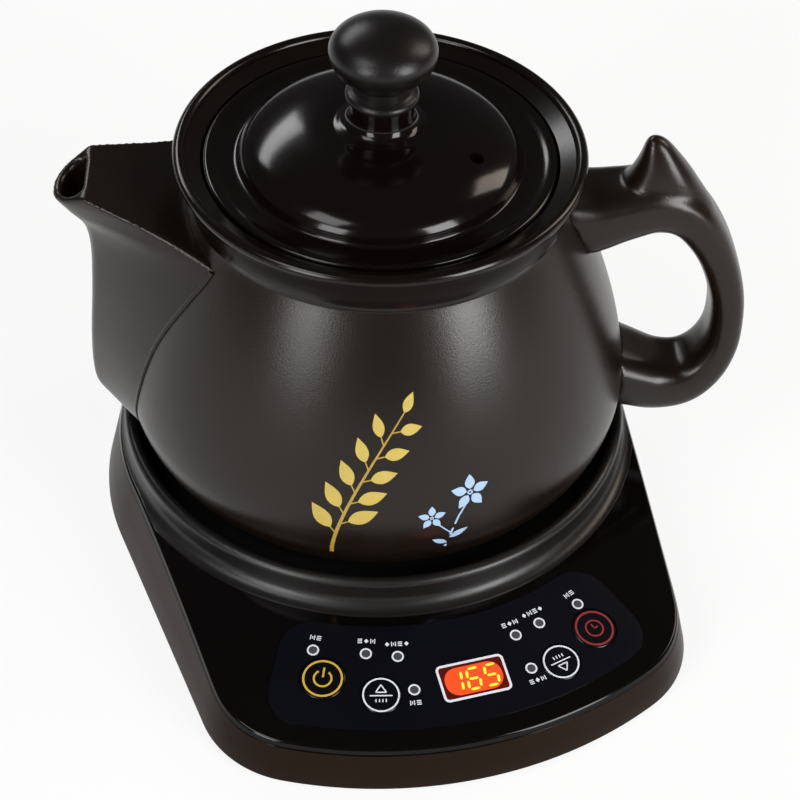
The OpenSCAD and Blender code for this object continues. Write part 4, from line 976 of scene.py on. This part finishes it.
def floor_finish():
    """A matt grey floor, in whose place camera and glossy rays see mostly plain white."""
    mat = bpy.data.materials.new("floor")
    mat.use_nodes = True
    nodes, links = mat.node_tree.nodes, mat.node_tree.links
    paint = nodes["Principled BSDF"]
    paint.inputs["Base Color"].default_value = (FLOOR_GREY, FLOOR_GREY, FLOOR_GREY, 1)
    paint.inputs["Roughness"].default_value = 0.9
    paint.inputs["Specular IOR Level"].default_value = 0.1
    white = nodes.new("ShaderNodeEmission")
    white.inputs["Color"].default_value = (1, 1, 1, 1)
    path = nodes.new("ShaderNodeLightPath")
    seen = nodes.new("ShaderNodeMath")
    seen.operation = "MAXIMUM"
    links.new(path.outputs["Is Camera Ray"], seen.inputs[0])
    links.new(path.outputs["Is Glossy Ray"], seen.inputs[1])
    part = nodes.new("ShaderNodeMath")
    part.operation = "MULTIPLY"
    part.inputs[1].default_value = FLOOR_WHITE
    links.new(seen.outputs[0], part.inputs[0])
    mixed = nodes.new("ShaderNodeMixShader")
    links.new(part.outputs[0], mixed.inputs[0])
    links.new(paint.outputs[0], mixed.inputs[1])
    links.new(white.outputs[0], mixed.inputs[2])
    links.new(mixed.outputs[0], nodes["Material Output"].inputs["Surface"])
    return mat


def area_light(name, place, aim_z, size, power, color=(1, 1, 1)):
    """A rectangular light with a power in watts, aimed at a height on the frame's Z axis."""
    data = bpy.data.lights.new(name, "AREA")
    data.shape, data.size, data.size_y = "RECTANGLE", size[0], size[1]
    data.energy, data.color = power, color
    obj = bpy.data.objects.new(name, data)
    obj.location = place
    obj.rotation_euler = (Vector((0, 0, aim_z)) - Vector(place)).to_track_quat("-Z", "Y").to_euler()
    bpy.context.scene.collection.objects.link(obj)


floor_mesh = bpy.data.meshes.new("floor")
floor_mesh.from_pydata([(x, y, 0) for x, y in corners(FLOOR_HALF, FLOOR_HALF)], [], [(0, 1, 2, 3)])
floor = bpy.data.objects.new("floor", floor_mesh)
bpy.context.scene.collection.objects.link(floor)
floor.data.materials.append(floor_finish())

world = bpy.data.worlds.new("studio")
world.use_nodes = True
world.node_tree.nodes["Background"].inputs["Color"].default_value = (1, 1, 1, 1)
world.node_tree.nodes["Background"].inputs["Strength"].default_value = WORLD_LIGHT
bpy.context.scene.world = world

area_light("key", (-1.1, -0.5, 1.5), 0.08, (0.7, 0.7), 10)
area_light("front", (0.95, -1.5, 0.75), 0.1, (0.7, 1.2), 40)
area_light("left", (-1.35, -1.1, 0.7), 0.1, (0.6, 1.0), 20)
area_light("side", (1.4, 0.3, 1.1), 0.1, (0.5, 0.9), 9, (1.0, 0.86, 0.74))
area_light("rim", (-0.5, 1.5, 1.2), 0.1, (1.0, 0.3), 8)

forward = Vector(CAMERA_ALONG).normalized()
level = forward.cross(Vector((0, 0, 1))).normalized()
upright = level.cross(forward)
roll = math.radians(CAMERA_ROLL)
right = math.cos(roll) * level + math.sin(roll) * upright
upward = math.cos(roll) * upright - math.sin(roll) * level
camera_data = bpy.data.cameras.new("camera")
camera_data.sensor_width = 36
camera_data.lens = CAMERA_LENS
camera_data.clip_end = 20
camera = bpy.data.objects.new("camera", camera_data)
bpy.context.scene.collection.objects.link(camera)
place = (Vector(CAMERA_FROM) + Vector(AXIS)) / 1000
camera.matrix_world = Matrix((
    (right.x, upward.x, -forward.x, place.x),
    (right.y, upward.y, -forward.y, place.y),
    (right.z, upward.z, -forward.z, place.z),
    (0, 0, 0, 1)))
bpy.context.scene.camera = camera
bpy.context.scene.view_settings.view_transform = "Standard"
